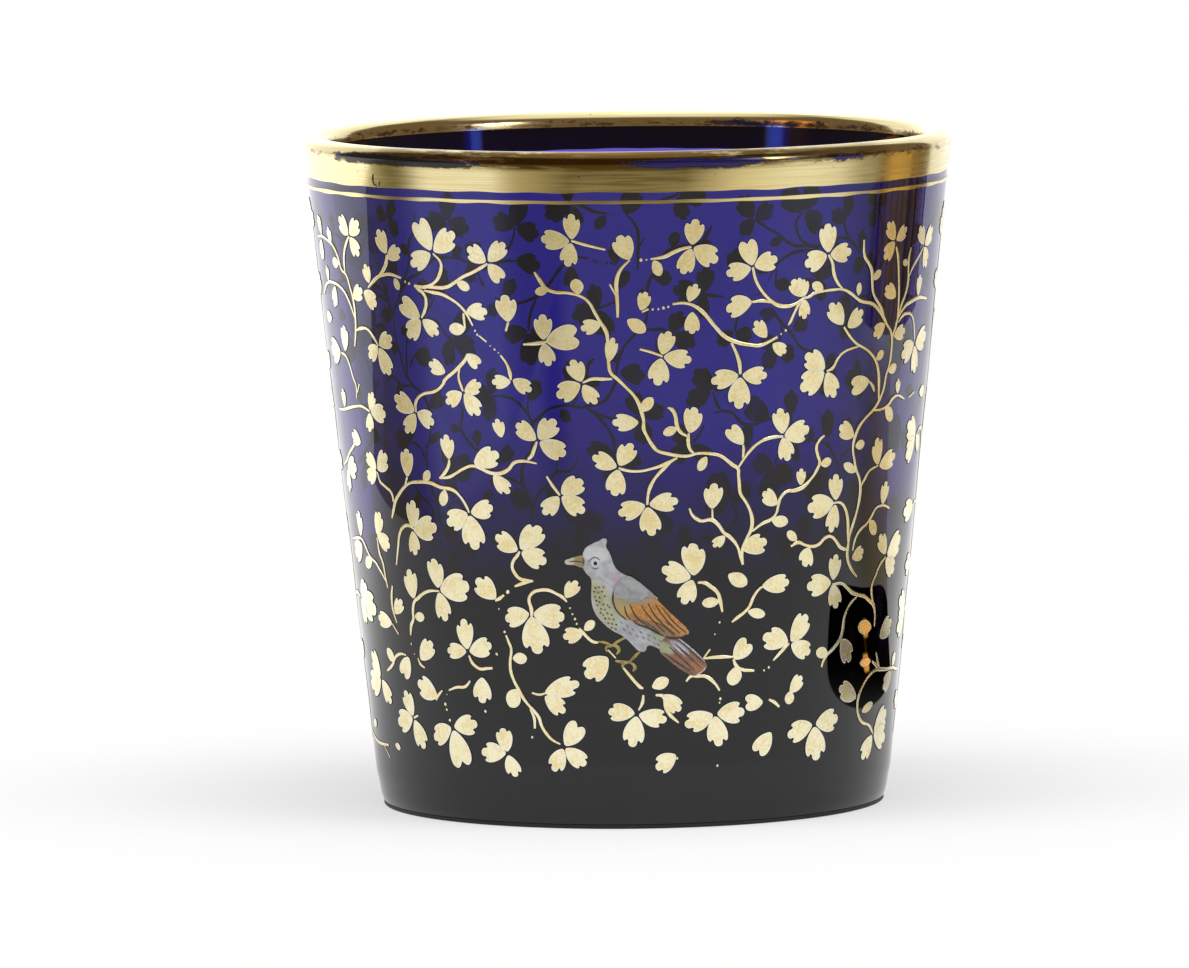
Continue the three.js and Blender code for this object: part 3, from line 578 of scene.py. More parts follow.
@dataclass
class Wall:
    """The beaker's outer wall, a cone on which the decoration lies."""

    foot_radius: float = 34.1
    mouth_radius: float = 43.55
    height: float = 90

    @property
    def slope(self) -> float:
        """How much the radius grows with each millimetre of height."""
        return (self.mouth_radius - self.foot_radius) / self.height

    @property
    def mean_radius(self) -> float:
        """The radius at which an arc of the flat drawing keeps its length."""
        return (self.foot_radius + self.mouth_radius) / 2

    def radius(self, level: float | np.ndarray) -> float | np.ndarray:
        """The outer radius at a height."""
        return self.foot_radius + self.slope * level

    def flat(self, place: Place) -> Vector:
        """A place on the wall as a point of the flat drawing."""
        around, level = place
        return Vector((math.radians(around) * self.mean_radius, level, 0))

    def lay(self, piece: Piece) -> Piece:
        """Bends a flat drawing round the wall, its thickness outwards, and turns millimetres to metres.

        Args:
            piece: the flat drawing, in millimetres.

        Returns:
            The same piece, in metres.
        """
        flat = np.empty(len(piece.data.vertices) * 3)
        piece.data.vertices.foreach_get("co", flat)
        arc, level, thickness = flat.reshape(-1, 3).T
        angle = arc / self.mean_radius
        radius = self.radius(level) + thickness
        bent = np.column_stack((radius * np.sin(angle), -radius * np.cos(angle), level))
        piece.data.vertices.foreach_set("co", (bent * MM).ravel())
        piece.data.update()
        return piece


def turned(name: str, outline: list[Place], segments: int) -> Piece:
    """Turns an outline round the beaker's axis.

    Args:
        name: the new piece's name.
        outline: points as (radius, height) in millimetres, a closed loop, or one with its ends on the axis.
        segments: how many faces go round.

    Returns:
        The turned piece, its faces outwards.
    """
    deselect()
    bpy.ops.mesh.primitive_circle_add(vertices=len(outline), fill_type="NOTHING")
    piece = bpy.context.active_object
    piece.name = name
    for vertex, (radius, level) in zip(piece.data.vertices, outline):
        vertex.co = (radius * MM, 0, level * MM)
    bpy.ops.object.mode_set(mode="EDIT")
    bpy.ops.mesh.select_all(action="SELECT")
    bpy.ops.mesh.spin(steps=segments, angle=math.tau, center=(0, 0, 0), axis=(0, 0, 1))
    bpy.ops.mesh.select_all(action="SELECT")
    bpy.ops.mesh.remove_doubles(threshold=0.002 * MM)
    bpy.ops.mesh.delete_loose()
    bpy.ops.mesh.select_all(action="SELECT")
    bpy.ops.mesh.normals_make_consistent(inside=False)
    bpy.ops.object.mode_set(mode="OBJECT")
    smooth(piece)
    return piece


def arc(centre: Place, radius: float, start: float, end: float, steps: int) -> list[Place]:
    """Points on an arc from one angle to another, in degrees from straight outwards."""
    angles = [math.radians(start + (end - start) * i / steps) for i in range(steps + 1)]
    return [(centre[0] + radius * math.cos(a), centre[1] + radius * math.sin(a)) for a in angles]


@dataclass
class Glass:
    """The blown body: thick at the foot, with a fully rounded lip and a ground base."""

    wall: Wall
    lip_radius: float = 1.5
    wall_at_floor: float = 4.2
    floor_thickness: float = 8
    inner_fillet: float = 4
    fillet_steps: int = 10
    foot_inset: float = 0.5  # how far inside the wall's line the foot stands
    foot_chamfer: float = 0.06
    heel_edge: float = 0.55  # the height of the ground edge that shows as a dark line under the wall
    heel_round: tuple[Place, ...] = ((0.03, 0.04), (0.24, 0.5), (0.42, 1.15), (0.57, 2), (0.72, 2.9))
    wall_starts: tuple[float, float] = (4.6, 5.2)  # the lowest heights of the straight wall
    lip_joint: float = 0.3  # how far below the centre of the lip's round the straight walls end
    standing_ring: float = 9.1
    base_recess: float = 0.8
    recess_slope: float = 1.2
    segments: int = 256

    @property
    def lip_centre(self) -> Place:
        """The centre of the lip's round.

        Returns:
            Its radius and height.
        """
        stretch = math.hypot(1, self.wall.slope)
        radius = self.wall.mouth_radius - self.wall.slope * self.lip_radius - self.lip_radius * stretch
        return radius, self.wall.height - self.lip_radius

    @property
    def inner_slope(self) -> float:
        """How much the inner radius grows with each millimetre of height."""
        rise = self.lip_centre[1] - self.floor_thickness
        return (self.lip_centre[0] - self.lip_radius - self.inner_radius_at_floor) / rise

    @property
    def inner_radius_at_floor(self) -> float:
        """The inner wall's radius at the floor, before its fillet."""
        return self.wall.radius(self.floor_thickness) - self.wall_at_floor

    def inner_radius(self, level: float) -> float:
        """The inner radius at a height."""
        return self.inner_radius_at_floor + self.inner_slope * (level - self.floor_thickness)

    def lip(self, offset: float, steps: int = 20) -> list[Place]:
        """The lip's arc from its outer to its inner wall, moved off the glass by an offset.

        Args:
            offset: how far the arc stands off the glass.
            steps: how many steps it takes.

        Returns:
            The arc's points.
        """
        start = -math.degrees(math.atan(self.wall.slope))
        end = 180 - math.degrees(math.atan(self.inner_slope))
        return arc(self.lip_centre, self.lip_radius + offset, start, end, steps)

    def outline(self) -> list[Place]:
        """The body's section, from the middle of the base up the outside and down the inside.

        Returns:
            The section's points, as radius and height.
        """
        foot = self.wall.foot_radius - self.foot_inset
        recess_edge = foot - self.standing_ring
        edge, chamfer = self.heel_edge, self.foot_chamfer
        fillet_level = self.floor_thickness + self.inner_fillet
        fillet = self.inner_radius(fillet_level) - self.inner_fillet, fillet_level
        top = self.lip_centre[1] - self.lip_joint
        return [
            (0, self.base_recess),
            (recess_edge - self.recess_slope, self.base_recess),
            (recess_edge, 0),
            (foot - chamfer, 0),
            (foot, chamfer),
            (foot + 0.02, edge - chamfer),
            (foot - chamfer, edge),
            *((foot + out, edge + up) for out, up in self.heel_round),
            *((self.wall.radius(level), level) for level in self.wall_starts),
            (self.wall.radius(top), top),
            *self.lip(0),
            (self.inner_radius(top), top),
            *arc(fillet, self.inner_fillet, 0, -90, self.fillet_steps),
            (0, self.floor_thickness),
        ]

    def build(self) -> None:
        """Turns the body and gives it its glass."""
        body = turned("blown_glass_body", self.outline(), self.segments)
        body.data.materials.append(CobaltGlass().material())
        body.data.materials.append(GROUND_GLASS.material())
        for face in body.data.polygons:
            if face.center.z < (self.heel_edge + 0.01) * MM:
                face.material_index = 1
        add_to_object(body, "blue_glass", "glass_body")


@dataclass
class Gilding:
    """The gold band over the lip and the thin line below it."""

    glass: Glass
    reverse: Material
    gap: float = 0.03
    thickness: float = 0.06
    outer_depth: float = 5.2
    inner_depth: float = 1.9
    bare_strip: float = 1.05
    line_width: float = 0.45
    edge_wander: float = 0.09  # how far the brush strayed at the band's lower edge
    line_wander: tuple[float, float] = (0.06, 0.07)  # and at the line's top and bottom
    scratch_width: float = 0.34
    scratch_depth: float = 0.05
    scratches_at: Lines = (
        ((-50.6, 86.5), (-50.9, 85.8), (-50.6, 85)),
        ((-49, 85.6), (-49.3, 84.9)),
        ((-50.4, 85.2), (-49.9, 84.9)),
    )

    def side(self, offset: float) -> list[Place]:
        """The band's outer or inner side, from its lower edge outside to its lower edge inside.

        Args:
            offset: how far the side stands off the glass.

        Returns:
            The side's points, as radius and height.
        """
        outer_level = self.glass.wall.height - self.outer_depth
        inner_level = self.glass.wall.height - self.inner_depth
        outer = self.glass.wall.radius(outer_level) + offset, outer_level
        inner = self.glass.inner_radius(inner_level) - offset, inner_level
        return [outer, *self.glass.lip(offset), inner]

    def build(self) -> None:
        """Turns the band and the line."""
        gold = BurnishedGold().material()
        band_outline = self.side(self.gap + self.thickness) + self.side(self.gap)[::-1]
        band = turned("lip_gilding_band", band_outline, self.glass.segments)
        band.data.materials.append(gold)
        band.data.materials.append(self.reverse)
        for face in band.data.polygons:
            face.material_index = int(self.faces_glass(face))
        self.hand_painted(band, self.glass.wall.height - self.outer_depth, self.edge_wander)
        add_to_object(band, "gilding", "rim_gilding")
        top = self.glass.wall.height - self.outer_depth - self.bare_strip
        bottom = top - self.line_width
        back, face = self.gap, self.gap + self.thickness
        radius = self.glass.wall.radius
        loop = [(radius(z) + off, z) for z, off in ((bottom, face), (top, face), (top, back), (bottom, back))]
        line = turned("thin_gilt_line", loop, self.glass.segments)
        line.data.materials.append(gold)
        for level, wander in zip((top, bottom), self.line_wander):
            self.hand_painted(line, level, wander)
        add_to_object(line, "gilding", "gilt_line")

    def faces_glass(self, face: bpy.types.MeshPolygon) -> bool:
        """Whether one of the band's faces lies against the glass: it faces the lip's middle.

        Args:
            face: the face.

        Returns:
            True where it does.
        """
        across, up = self.glass.lip_centre
        level = min(face.center.z, up * MM)
        outwards = face.center.copy()
        outwards.z = 0
        middle = outwards.normalized() * across * MM
        middle.z = level
        return face.normal.dot(middle - face.center) > 0.5 * (middle - face.center).length

    def scratches(self, ground: Material) -> None:
        """Lays short dark scratches on the band's lower edge, where the gold is chipped to the glass.

        Args:
            ground: the finish of the bare ground.
        """
        wall = self.glass.wall
        strokes = [Stem(places, self.scratch_width) for places in self.scratches_at]
        foot = self.gap + self.thickness - 0.02
        marks = brushed_lines(wall, strokes, foot, self.scratch_depth, ground)
        marks.name = "band_scratches"
        wall.lay(marks)
        add_to_object(marks, "blue_glass")

    def hand_painted(self, piece: Piece, level: float, wander: float) -> None:
        """Lets an edge at a height wander a little, as a brush on a turntable leaves it.

        Args:
            piece: the band or the line.
            level: the edge's height.
            wander: how far it strays, in millimetres.
        """
        waves = random.Random(round(level * 100))
        terms = [
            (waves.randint(3, 40), waves.uniform(0, math.tau), waves.uniform(0.2, 1)) for _ in range(9)
        ]
        share = wander / sum(size for *_, size in terms)
        for vertex in piece.data.vertices:
            if abs(vertex.co.z / MM - level) < 0.01:
                around = math.atan2(vertex.co.x, -vertex.co.y)
                shift = sum(size * math.sin(count * around + phase) for count, phase, size in terms)
                vertex.co.z += 2 * shift * share * MM


# The vines: strokes of gold drawn flat and laid on the wall


class LeafForm(Enum):
    """The forms that the painter gave the leaves."""

    THREE_LOBED = "three_lobed"
    BLUNT = "blunt"
    TWO_LOBED = "two_lobed"
    BUD = "bud"


# Half an outline from base to tip: shares of the length along the leaf and across it
HALF_OUTLINES: dict[LeafForm, list[Place]] = {
    LeafForm.THREE_LOBED: [
        (0.0, 0.05), (0.09, 0.15), (0.22, 0.25), (0.38, 0.33), (0.53, 0.37), (0.65, 0.374), (0.745, 0.357),
        (0.815, 0.312), (0.828, 0.25), (0.78, 0.195), (0.815, 0.17), (0.88, 0.166), (0.95, 0.125),
        (0.99, 0.06), (1.0, 0.0),
    ],
    LeafForm.BLUNT: [
        (0.0, 0.05), (0.1, 0.16), (0.25, 0.27), (0.43, 0.345), (0.6, 0.375), (0.73, 0.365), (0.82, 0.335),
        (0.872, 0.268), (0.865, 0.215), (0.835, 0.185), (0.865, 0.165), (0.915, 0.155), (0.965, 0.115),
        (0.995, 0.055), (1.0, 0.0),
    ],
    LeafForm.TWO_LOBED: [
        (0.0, 0.05), (0.1, 0.155), (0.28, 0.28), (0.5, 0.36), (0.73, 0.38), (0.91, 0.325), (1.0, 0.2),
        (0.97, 0.09), (0.87, 0.0),
    ],
    LeafForm.BUD: [
        (0.0, 0.06), (0.14, 0.19), (0.34, 0.3), (0.56, 0.33), (0.78, 0.27), (0.93, 0.15), (1.0, 0.0),
    ],
}


@dataclass(frozen=True)
class Leaf:
    """One leaf from its base to its tip; breadth widens or narrows its form."""

    base: Place
    tip: Place
    form: LeafForm | None = None
    breadth: float = 1.0
    gap: float = 0.0  # the share of its way by which it starts clear of its base


@dataclass(frozen=True)
class Stem:
    """A brushed line through places on the wall."""

    places: tuple[Place, ...]
    width: float = 0.44


@dataclass(frozen=True)
class Trail:
    """Where a stem is worn to dots: each place holds one."""

    places: tuple[Place, ...]
    size: float = 0.32


Stroke = Leaf | Stem | Trail


def leaf(base: Place, tip: Place, breadth: float = 1.0, form: LeafForm | None = None) -> list[Stroke]:
    """One leaf."""
    return [Leaf(base, tip, form, breadth)]


def leaves(*ends: tuple[Place, Place]) -> list[Stroke]:
    """Leaves of the usual breadth, each from its base to its tip."""
    return [Leaf(base, tip) for base, tip in ends]


def bud(base: Place, tip: Place, breadth: float = 1.0) -> list[Stroke]:
    """One oval bud."""
    return [Leaf(base, tip, LeafForm.BUD, breadth)]


def buds(*ends: tuple[Place, Place]) -> list[Stroke]:
    """Oval buds, each from its base to its tip."""
    return [Leaf(base, tip, LeafForm.BUD) for base, tip in ends]


def heart(base: Place, tip: Place, breadth: float = 1.15) -> list[Stroke]:
    """One broad leaf with two lobes."""
    return [Leaf(base, tip, LeafForm.TWO_LOBED, breadth)]


def trefoil(centre: Place, *tips: Place) -> list[Stroke]:
    """Leaves round a centre."""
    return [Leaf(centre, tip, gap=0.06) for tip in tips]


def stem(*places: Place) -> list[Stroke]:
    """One stem."""
    return [Stem(places)]


def trail(*places: Place) -> list[Stroke]:
    """Dots of a worn stem."""
    return [Trail(places)]


# Where each stroke lies, read from the beaker's front
SPRAYS: dict[str, list[list[Stroke]]] = {
    "left_crown_vine": [
        stem((-63.2, 63), (-62.2, 64.8), (-61.6, 67), (-61.7, 69.4), (-62.5, 71), (-63.6, 72.6),
             (-65.4, 73.2), (-66.6, 75), (-68.3, 76.2), (-71.5, 76.9), (-74.5, 77.2), (-78, 77)),
        stem((-63.9, 72.8), (-63.9, 74), (-63.3, 75.6), (-61.9, 77), (-60.6, 77.9)),
        trefoil((-60.6, 77.9), (-64.2, 80.2), (-56.6, 80), (-57.8, 75.2)),
        stem((-61.9, 67), (-63.3, 68.8), (-65.1, 70.2), (-67.4, 70.9), (-70.4, 71.2), (-73.6, 71.1),
             (-76.2, 70.4), (-78, 69.4)),
        stem((-61.9, 65.2), (-59.8, 65.6), (-57.5, 65.6), (-55.7, 64.7), (-54.2, 63.5)),
        trefoil((-54.2, 63.5), (-49.8, 65), (-58, 61.8), (-51.6, 59.6)),
        leaves(((-61.6, 69.6), (-57.8, 71)), ((-69.5, 70.8), (-71, 67.8)), ((-73.3, 71.2), (-73.6, 73.4))),
        bud((-66.3, 74), (-69.5, 73.9)),
        leaves(((-69.2, 76.4), (-69.8, 78.8)), ((-74.5, 77.4), (-76, 80)), ((-75, 76.8), (-76.5, 74))),
        bud((-74, 66.3), (-78, 66.3)),
    ],
    "left_loop_vine": [
        stem((-42.5, 72), (-39.9, 71.9), (-37.5, 72.6), (-36.3, 73.6), (-35.8, 75.2), (-37.4, 76.4)),
        trefoil((-37.6, 76.5), (-40.5, 80.8), (-32.1, 79.2), (-42.8, 74.4)),
        stem((-42.5, 72), (-38, 71.9), (-35, 72), (-33, 72.7), (-31.4, 73.4), (-29.4, 74), (-27.2, 74.8),
             (-26, 75.3)),
        trefoil((-26, 75.4), (-30, 77.3), (-22.4, 78.2), (-23.1, 73.2)),
        bud((-32.6, 72.6), (-29.8, 72)),
        stem((-42.5, 72), (-41.6, 71.6), (-40.2, 70.8), (-39.9, 69.8), (-40.5, 68.6), (-41.4, 67.7)),
        trefoil((-41.4, 67.6), (-46.2, 70), (-45.4, 65), (-37.4, 65.6)),
        stem((-40.2, 71.4), (-38, 71.2), (-36, 71), (-34, 70.4), (-32.6, 69.8), (-31.2, 68.8), (-29.8, 67)),
        trail((-29.3, 66.5), (-28.9, 66)),
        stem((-28.6, 65.7), (-27.1, 64.9)),
        trail((-26.4, 64.5), (-25.6, 64.1), (-24.9, 63.6)),
        stem((-24.4, 63.2), (-23.2, 62), (-22.7, 60.8), (-22.6, 59.9)),
        leaf((-31, 68.8), (-26.5, 69.1)),
        stem((-31.6, 68.6), (-31.6, 68), (-31.5, 66.6)),
        bud((-31.4, 66.6), (-35.1, 66.3)),
        leaves(((-22.6, 59.7), (-26.6, 59.5)), ((-22.2, 60), (-18.6, 58.4))),
        trail((-43.6, 72.4), (-44.6, 72.6)),
        stem((-45.7, 72.9), (-48.7, 73.3), (-50.1, 73.2), (-51.9, 72.9), (-53.7, 72.2), (-55.7, 71.2)),
        bud((-47.5, 72.8), (-46.6, 71.2)),
        stem((-51.9, 72.9), (-50.4, 73.8), (-49.4, 74.8), (-49.1, 75.8)),
        leaves(((-49.1, 76), (-51, 79.2)), ((-49, 75.4), (-45.1, 76.6)), ((-55.2, 71.8), (-56.1, 74.4)),
               ((-57.4, 70.6), (-53.4, 68.9))),
        leaf((-22.5, 67.6), (-22.9, 71.3), 1.15),
        stem((-22.5, 67.6), (-23.1, 66.4)),
        trefoil((-15.8, 65.1), (-15.8, 68.8), (-9.1, 65.6), (-14.9, 61.8)),
        stem((-19.8, 64.7), (-16.8, 64.9), (-14.7, 65.2)),
    ],
    "left_mid_vine": [
        stem((-44.9, 55), (-44.9, 56), (-44.3, 56.8), (-42.8, 57.5), (-39.3, 58.1), (-37.5, 59),
             (-36.8, 59.7), (-35, 60.6), (-33.2, 61.6), (-31.8, 62.6), (-31.4, 63.2)),
        heart((-31.6, 63.2), (-28.8, 61.8)),
        stem((-33.3, 61.4), (-33.7, 60), (-33.2, 58.8), (-32.9, 58.2)),
        trefoil((-32.9, 58.1), (-28.7, 59.2), (-37.2, 56.6), (-29.6, 55)),
        trefoil((-44.9, 55), (-50.9, 56.8), (-40.2, 53.8), (-48.1, 52)),
        leaves(((-36.6, 60.6), (-40.5, 61.8)), ((-25.2, 52.2), (-25.8, 54.8))),
    ],
    "left_side_vine": [
        stem((-59.8, 54.5), (-62.7, 55), (-65.4, 54.9), (-69.2, 54.5), (-72.7, 54.1), (-76.5, 53.9)),
        trefoil((-59.8, 54.5), (-57.8, 57.2), (-54, 54.2), (-60.4, 51.6)),
        leaf((-72, 54.4), (-72, 57)),
        stem((-70.4, 61.8), (-68, 61.5), (-66.6, 60.4), (-65.7, 59), (-64.5, 57.6), (-64.9, 55.9)),
        stem((-63, 58), (-64.2, 56.8)),
        leaves(((-70.7, 62), (-77.4, 61.8)), ((-68, 62.1), (-67.1, 65.7))),
    ],
    "left_side_sprig": [
        stem((-78, 46.4), (-75, 47.2), (-72.7, 48.2), (-69.5, 49.3), (-68, 50)),
        leaves(((-65.2, 50), (-69.5, 51)), ((-75, 46.2), (-68.9, 46.2)), ((-75, 46), (-76.2, 42.8))),
    ],
    "left_middle_vine": [
        stem((-55.6, 40.4), (-54.8, 41.4), (-53.7, 42.8), (-52.2, 43.8), (-50.4, 44.8), (-48.7, 45.4),
             (-45.9, 45.7), (-42.8, 45.7), (-40.2, 45.2), (-36.9, 44.9), (-35.5, 44.2), (-34, 42.8),
             (-33.5, 42)),
        stem((-50.1, 45), (-49.2, 46.2)),
        leaf((-49.1, 46.2), (-48.8, 50.1)),
        stem((-54.5, 42.6), (-54.8, 43.8), (-56.9, 44.6), (-58.6, 45.2), (-59.4, 46.4)),
        trefoil((-59.4, 46.6), (-62.9, 48.9), (-54.8, 48.7), (-63.6, 45)),
        buds(((-44.4, 45.7), (-42.8, 47.4)), ((-39, 44.9), (-39.9, 42.6))),
        trefoil((-33.5, 42), (-39.3, 40.4), (-27.8, 42.6), (-32.2, 37)),
        stem((-40.2, 46.4), (-37.5, 46.7), (-36, 47.2), (-34, 47.9), (-32, 48.3), (-30, 48), (-28.6, 47.6),
             (-26.8, 47.4), (-25.2, 47.6), (-24, 48.1), (-22.9, 48.9), (-21, 49.2), (-18.2, 48.9)),
        stem((-40.2, 46.4), (-38.7, 47.2), (-37.5, 48.4), (-37.4, 49)),
        leaves(((-37.4, 49), (-37.4, 52.4)), ((-31.6, 48.6), (-26, 50.4)), ((-27.4, 47.2), (-24.4, 44.6))),
        stem((-20, 49.4), (-19.2, 49.9), (-18.6, 50.8), (-18, 51.8)),
        trefoil((-17.8, 51.9), (-22.2, 54), (-14, 54.8), (-12.2, 50.2)),
        trefoil((-13.8, 44.7), (-9.2, 46.8), (-17.6, 42.2), (-9.2, 42.2)),
        stem((-16.3, 47.2), (-15.2, 46), (-13.8, 44.7)),
    ],
    "left_low_vine": [
        trefoil((-49.2, 39.2), (-48.1, 43.2), (-41.8, 39.4), (-48.4, 35.7)),
        stem((-48.4, 39.2), (-50.1, 39.7), (-51.9, 39.4), (-53.4, 38.4), (-54.5, 36.4), (-55.7, 34.1)),
        leaves(((-62.3, 37.8), (-60, 41)), ((-62.2, 37.8), (-57.5, 36.2))),
        stem((-62.5, 37.4), (-62, 35.2), (-61.1, 34.2), (-60.7, 32.6), (-60.1, 30.8)),
        stem((-78, 36.4), (-74.2, 36.7), (-70.7, 36.7), (-69.2, 36), (-67.7, 35), (-66.3, 34.4),
             (-64.2, 33.9), (-63.3, 33.4), (-61.6, 32.4), (-60.4, 31.6)),
        leaves(((-71.3, 37.1), (-70.4, 40.6)), ((-71, 36), (-77, 34))),
        bud((-66, 34.3), (-70.2, 33.3)),
        stem((-58.1, 31.2), (-58.9, 29.6), (-58.9, 28), (-57.8, 26.2)),
        leaf((-58.1, 27.4), (-55.1, 29.6)),
        stem((-57.6, 24.7), (-59.8, 26)),
        leaf((-59.8, 26), (-66.2, 26.4), 0.75),
    ],
    "left_arch_vine": [
        trefoil((-43.1, 31.3), (-43.1, 35.6), (-34.6, 31.8), (-41.6, 27.1)),
        stem((-42.8, 31.2), (-45.7, 31.1), (-47.8, 30.6), (-49.3, 30), (-50.7, 29.4), (-51.5, 28),
             (-51.6, 27), (-52.5, 26.2), (-53.1, 24.8)),
        trail((-53.1, 23.8), (-52.2, 22.4)),
        stem((-51.3, 21.8), (-50.7, 21.1), (-49.3, 20.6)),
        leaf((-50.7, 29.8), (-51.9, 33.8)),
        bud((-51, 27.4), (-47.8, 27.5)),
        leaf((-50.4, 21.6), (-46, 24.2)),
        stem((-64.5, 19.4), (-62.5, 20), (-61.2, 20.6), (-60.1, 21.4), (-58.5, 21.9), (-57, 22.1),
             (-55.5, 22)),
        bud((-60.4, 20.8), (-63.6, 22.4)),
        heart((-54.5, 21.8), (-57.5, 19.1)),
        trefoil((-68.2, 18.2), (-73.6, 21.2), (-76.6, 16.4), (-64.4, 14.8)),
    ],
    "left_foot_vine": [
        trefoil((-54.9, 13.6), (-57.5, 17.2), (-61.8, 12.4), (-52.3, 9.4)),
        stem((-54.9, 13.6), (-53.2, 14)),
        leaf((-46, 16.8), (-52.3, 18.6)),
        stem((-46.6, 16.4), (-45.6, 17.2), (-44.4, 17.8)),
        trail((-44, 16.2), (-43.7, 15.4), (-43.1, 17.4), (-42.7, 14), (-41.6, 12.2)),
        stem((-42.5, 17.9), (-40.2, 18.4), (-37.8, 18.6), (-36.4, 19.4)),
        trefoil((-42.3, 12.9), (-48.6, 11.4), (-35.3, 13.9), (-40.2, 7.6)),
        leaf((-33.2, 20), (-33.3, 16.4), 1.25),
        trail((-33.2, 15.6)),
    ],
    "centre_left_vine": [
        trefoil((-36.4, 23.3), (-37, 27.8), (-42, 23.2), (-30.2, 24.3)),
        stem((-36.2, 22.8), (-35.5, 21.9), (-34.6, 21.4), (-33.5, 21.1), (-32, 21.2), (-30.5, 21.3)),
        leaf((-28.6, 30.6), (-32.8, 33.4), 1.15),
        stem((-28.8, 30.4), (-27.8, 30.7), (-26.7, 31.2)),
        trail((-28, 29.4), (-25.6, 31.9), (-26.9, 26.4), (-29.4, 23.4)),
        stem((-24.2, 32.4), (-23, 32.7), (-21.8, 33), (-20.1, 33.2)),
        trefoil((-22.7, 37.1), (-28, 39), (-18, 40.6), (-17, 35.7)),
        stem((-22.7, 37.1), (-23.2, 36.6), (-24.2, 35.8), (-24.5, 35), (-24, 34.2), (-23, 33.5),
             (-21.6, 33.3), (-20.1, 33.2)),
        stem((-26.8, 25.8), (-26.2, 24.8), (-25.8, 24), (-26.2, 22.4), (-26.2, 21), (-25.6, 19.8),
             (-24.8, 18.8), (-23.8, 17.6), (-22.6, 16.6), (-21.4, 15.8), (-20.4, 15), (-19.8, 13.8),
             (-18.8, 12.8), (-17.6, 12), (-15.8, 11.4)),
        bud((-25.6, 22.7), (-22.2, 22.7), 1.2),
        bud((-24.8, 18.6), (-27.2, 16.2), 1.25),
        stem((-22.2, 16), (-21.4, 14.8), (-21.4, 13.4)),
        trail((-22.2, 12.4)),
        trefoil((-15, 11), (-11, 14), (-10.5, 8.4), (-18, 7.8)),
        trefoil((-28.1, 9.9), (-34.9, 10), (-29.4, 13.3), (-26.6, 6.7)),
        stem((-21.6, 18.2), (-20, 18), (-18.6, 18.2)),
        leaf((-18.8, 18.2), (-11, 19.6), 0.78),
        leaf((-18.8, 17.8), (-14.4, 15.6)),
    ],
    "perch_arch": [
        trefoil((-20.9, 28.8), (-26.9, 28.2), (-13.7, 28.3), (-19.9, 23.3)),
        stem((-20.9, 27.8), (-20.8, 29.4), (-21.2, 30.8), (-20.4, 31.6), (-18.8, 32), (-16.8, 32),
             (-15.4, 31.6), (-14, 31.1), (-13.2, 30.5)),
        trail((-12.6, 29.8), (-12.1, 29), (-11.6, 28.4), (-11.2, 27.7)),
        stem((-10.8, 27), (-10, 26.4), (-9.2, 25.8), (-8, 25.2), (-7, 25.1)),
        leaves(((-13.4, 31), (-11, 33.4)), ((-10, 26.4), (-14.3, 25.6))),
        bud((-9.8, 26.7), (-7.6, 28)),
    ],
    "perch_branch": [
        stem((-5, 24.1), (-3.4, 23)),
        leaf((-5, 23.1), (-9.6, 20.2), 1.1),
        stem((-2, 21.8), (-1, 21), (0, 20.2), (0.8, 19.6), (1.6, 19.1), (2.2, 18.9)),
        stem((2.2, 18), (2, 17), (1.2, 16)),
        trefoil((0.8, 15.5), (-5.3, 15.8), (7.2, 14.4), (-0.6, 11)),
        bud((4, 19), (7.5, 20.2)),
        stem((4.8, 18), (6.4, 17.8), (7, 16.2), (8, 15.2), (9.7, 14.2)),
        leaf((6.4, 18), (10.2, 15.8)),
    ],
    "right_low_vine": [
        trefoil((12.4, 33.5), (5.8, 34.6), (12.9, 38.2), (10.3, 30)),
        stem((13.4, 32.9), (14.8, 32.8), (16.2, 32.2), (17.6, 31.4), (18.2, 30.2), (18.7, 28.8)),
        trail((18.2, 27.6), (17.2, 26)),
        bud((18, 30.2), (14.2, 30.2), 0.85),
        stem((14.8, 22.7), (16.2, 23.9)),
        stem((15, 22.7), (16.8, 22.8), (18.6, 22.8), (21.2, 22.7)),
        heart((21.4, 22.4), (24.6, 24.8)),
        stem((21.4, 22.4), (22, 21.6), (23.2, 21), (26.2, 20.7)),
        bud((22, 21.4), (21.8, 18.8), 1.3),
        trail((28.4, 20.8), (29.6, 21.2)),
        stem((30.6, 21.9), (31.6, 22.5), (33, 23.3), (34.4, 24)),
        trefoil((34.5, 24), (28, 25.6), (39, 27.6), (40.2, 22.6)),
        bud((19.7, 33.8), (23.9, 32.2), 0.95),
        stem((20.8, 27.4), (22, 28), (23.4, 28.6), (24.6, 29.4), (25.4, 30.6), (26.6, 31.6), (27.8, 32)),
        leaf((27.2, 32), (33.7, 32.4), 0.8),
        bud((24.2, 28.7), (28.3, 28), 0.8),
    ],
    "tail_branch": [
        stem((11.2, 19.7), (12.2, 20.4), (13.6, 20.4), (15.2, 20.3), (16.6, 19.8), (17.8, 19),
             (18.5, 18.3)),
        trail((18.6, 17.4), (18.6, 16.8)),
        trefoil((17.6, 15.2), (10.9, 13.8), (24.4, 15), (18.4, 10.7)),
        leaf((9.2, 9.9), (4.6, 8.2), 1.1),
        trail((9.5, 9.6), (18.4, 8.4)),
    ],
    "right_lower_vine": [
        trefoil((45.2, 31.7), (45.6, 35.5), (38, 31.3), (46.6, 28)),
        stem((45.1, 31.4), (48, 31.4), (49.6, 30.8), (51.5, 30), (53.9, 29.5), (56, 29.2), (58.1, 28.5),
             (60, 27.8), (61.1, 26.4), (61.3, 24.8)),
        stem((53.3, 29.3), (51.5, 28.6), (50.4, 27.8), (49.6, 26.6), (49.3, 24.8), (48.8, 24), (46.9, 22.8),
             (45.1, 22), (44, 21.2), (43.6, 20.4)),
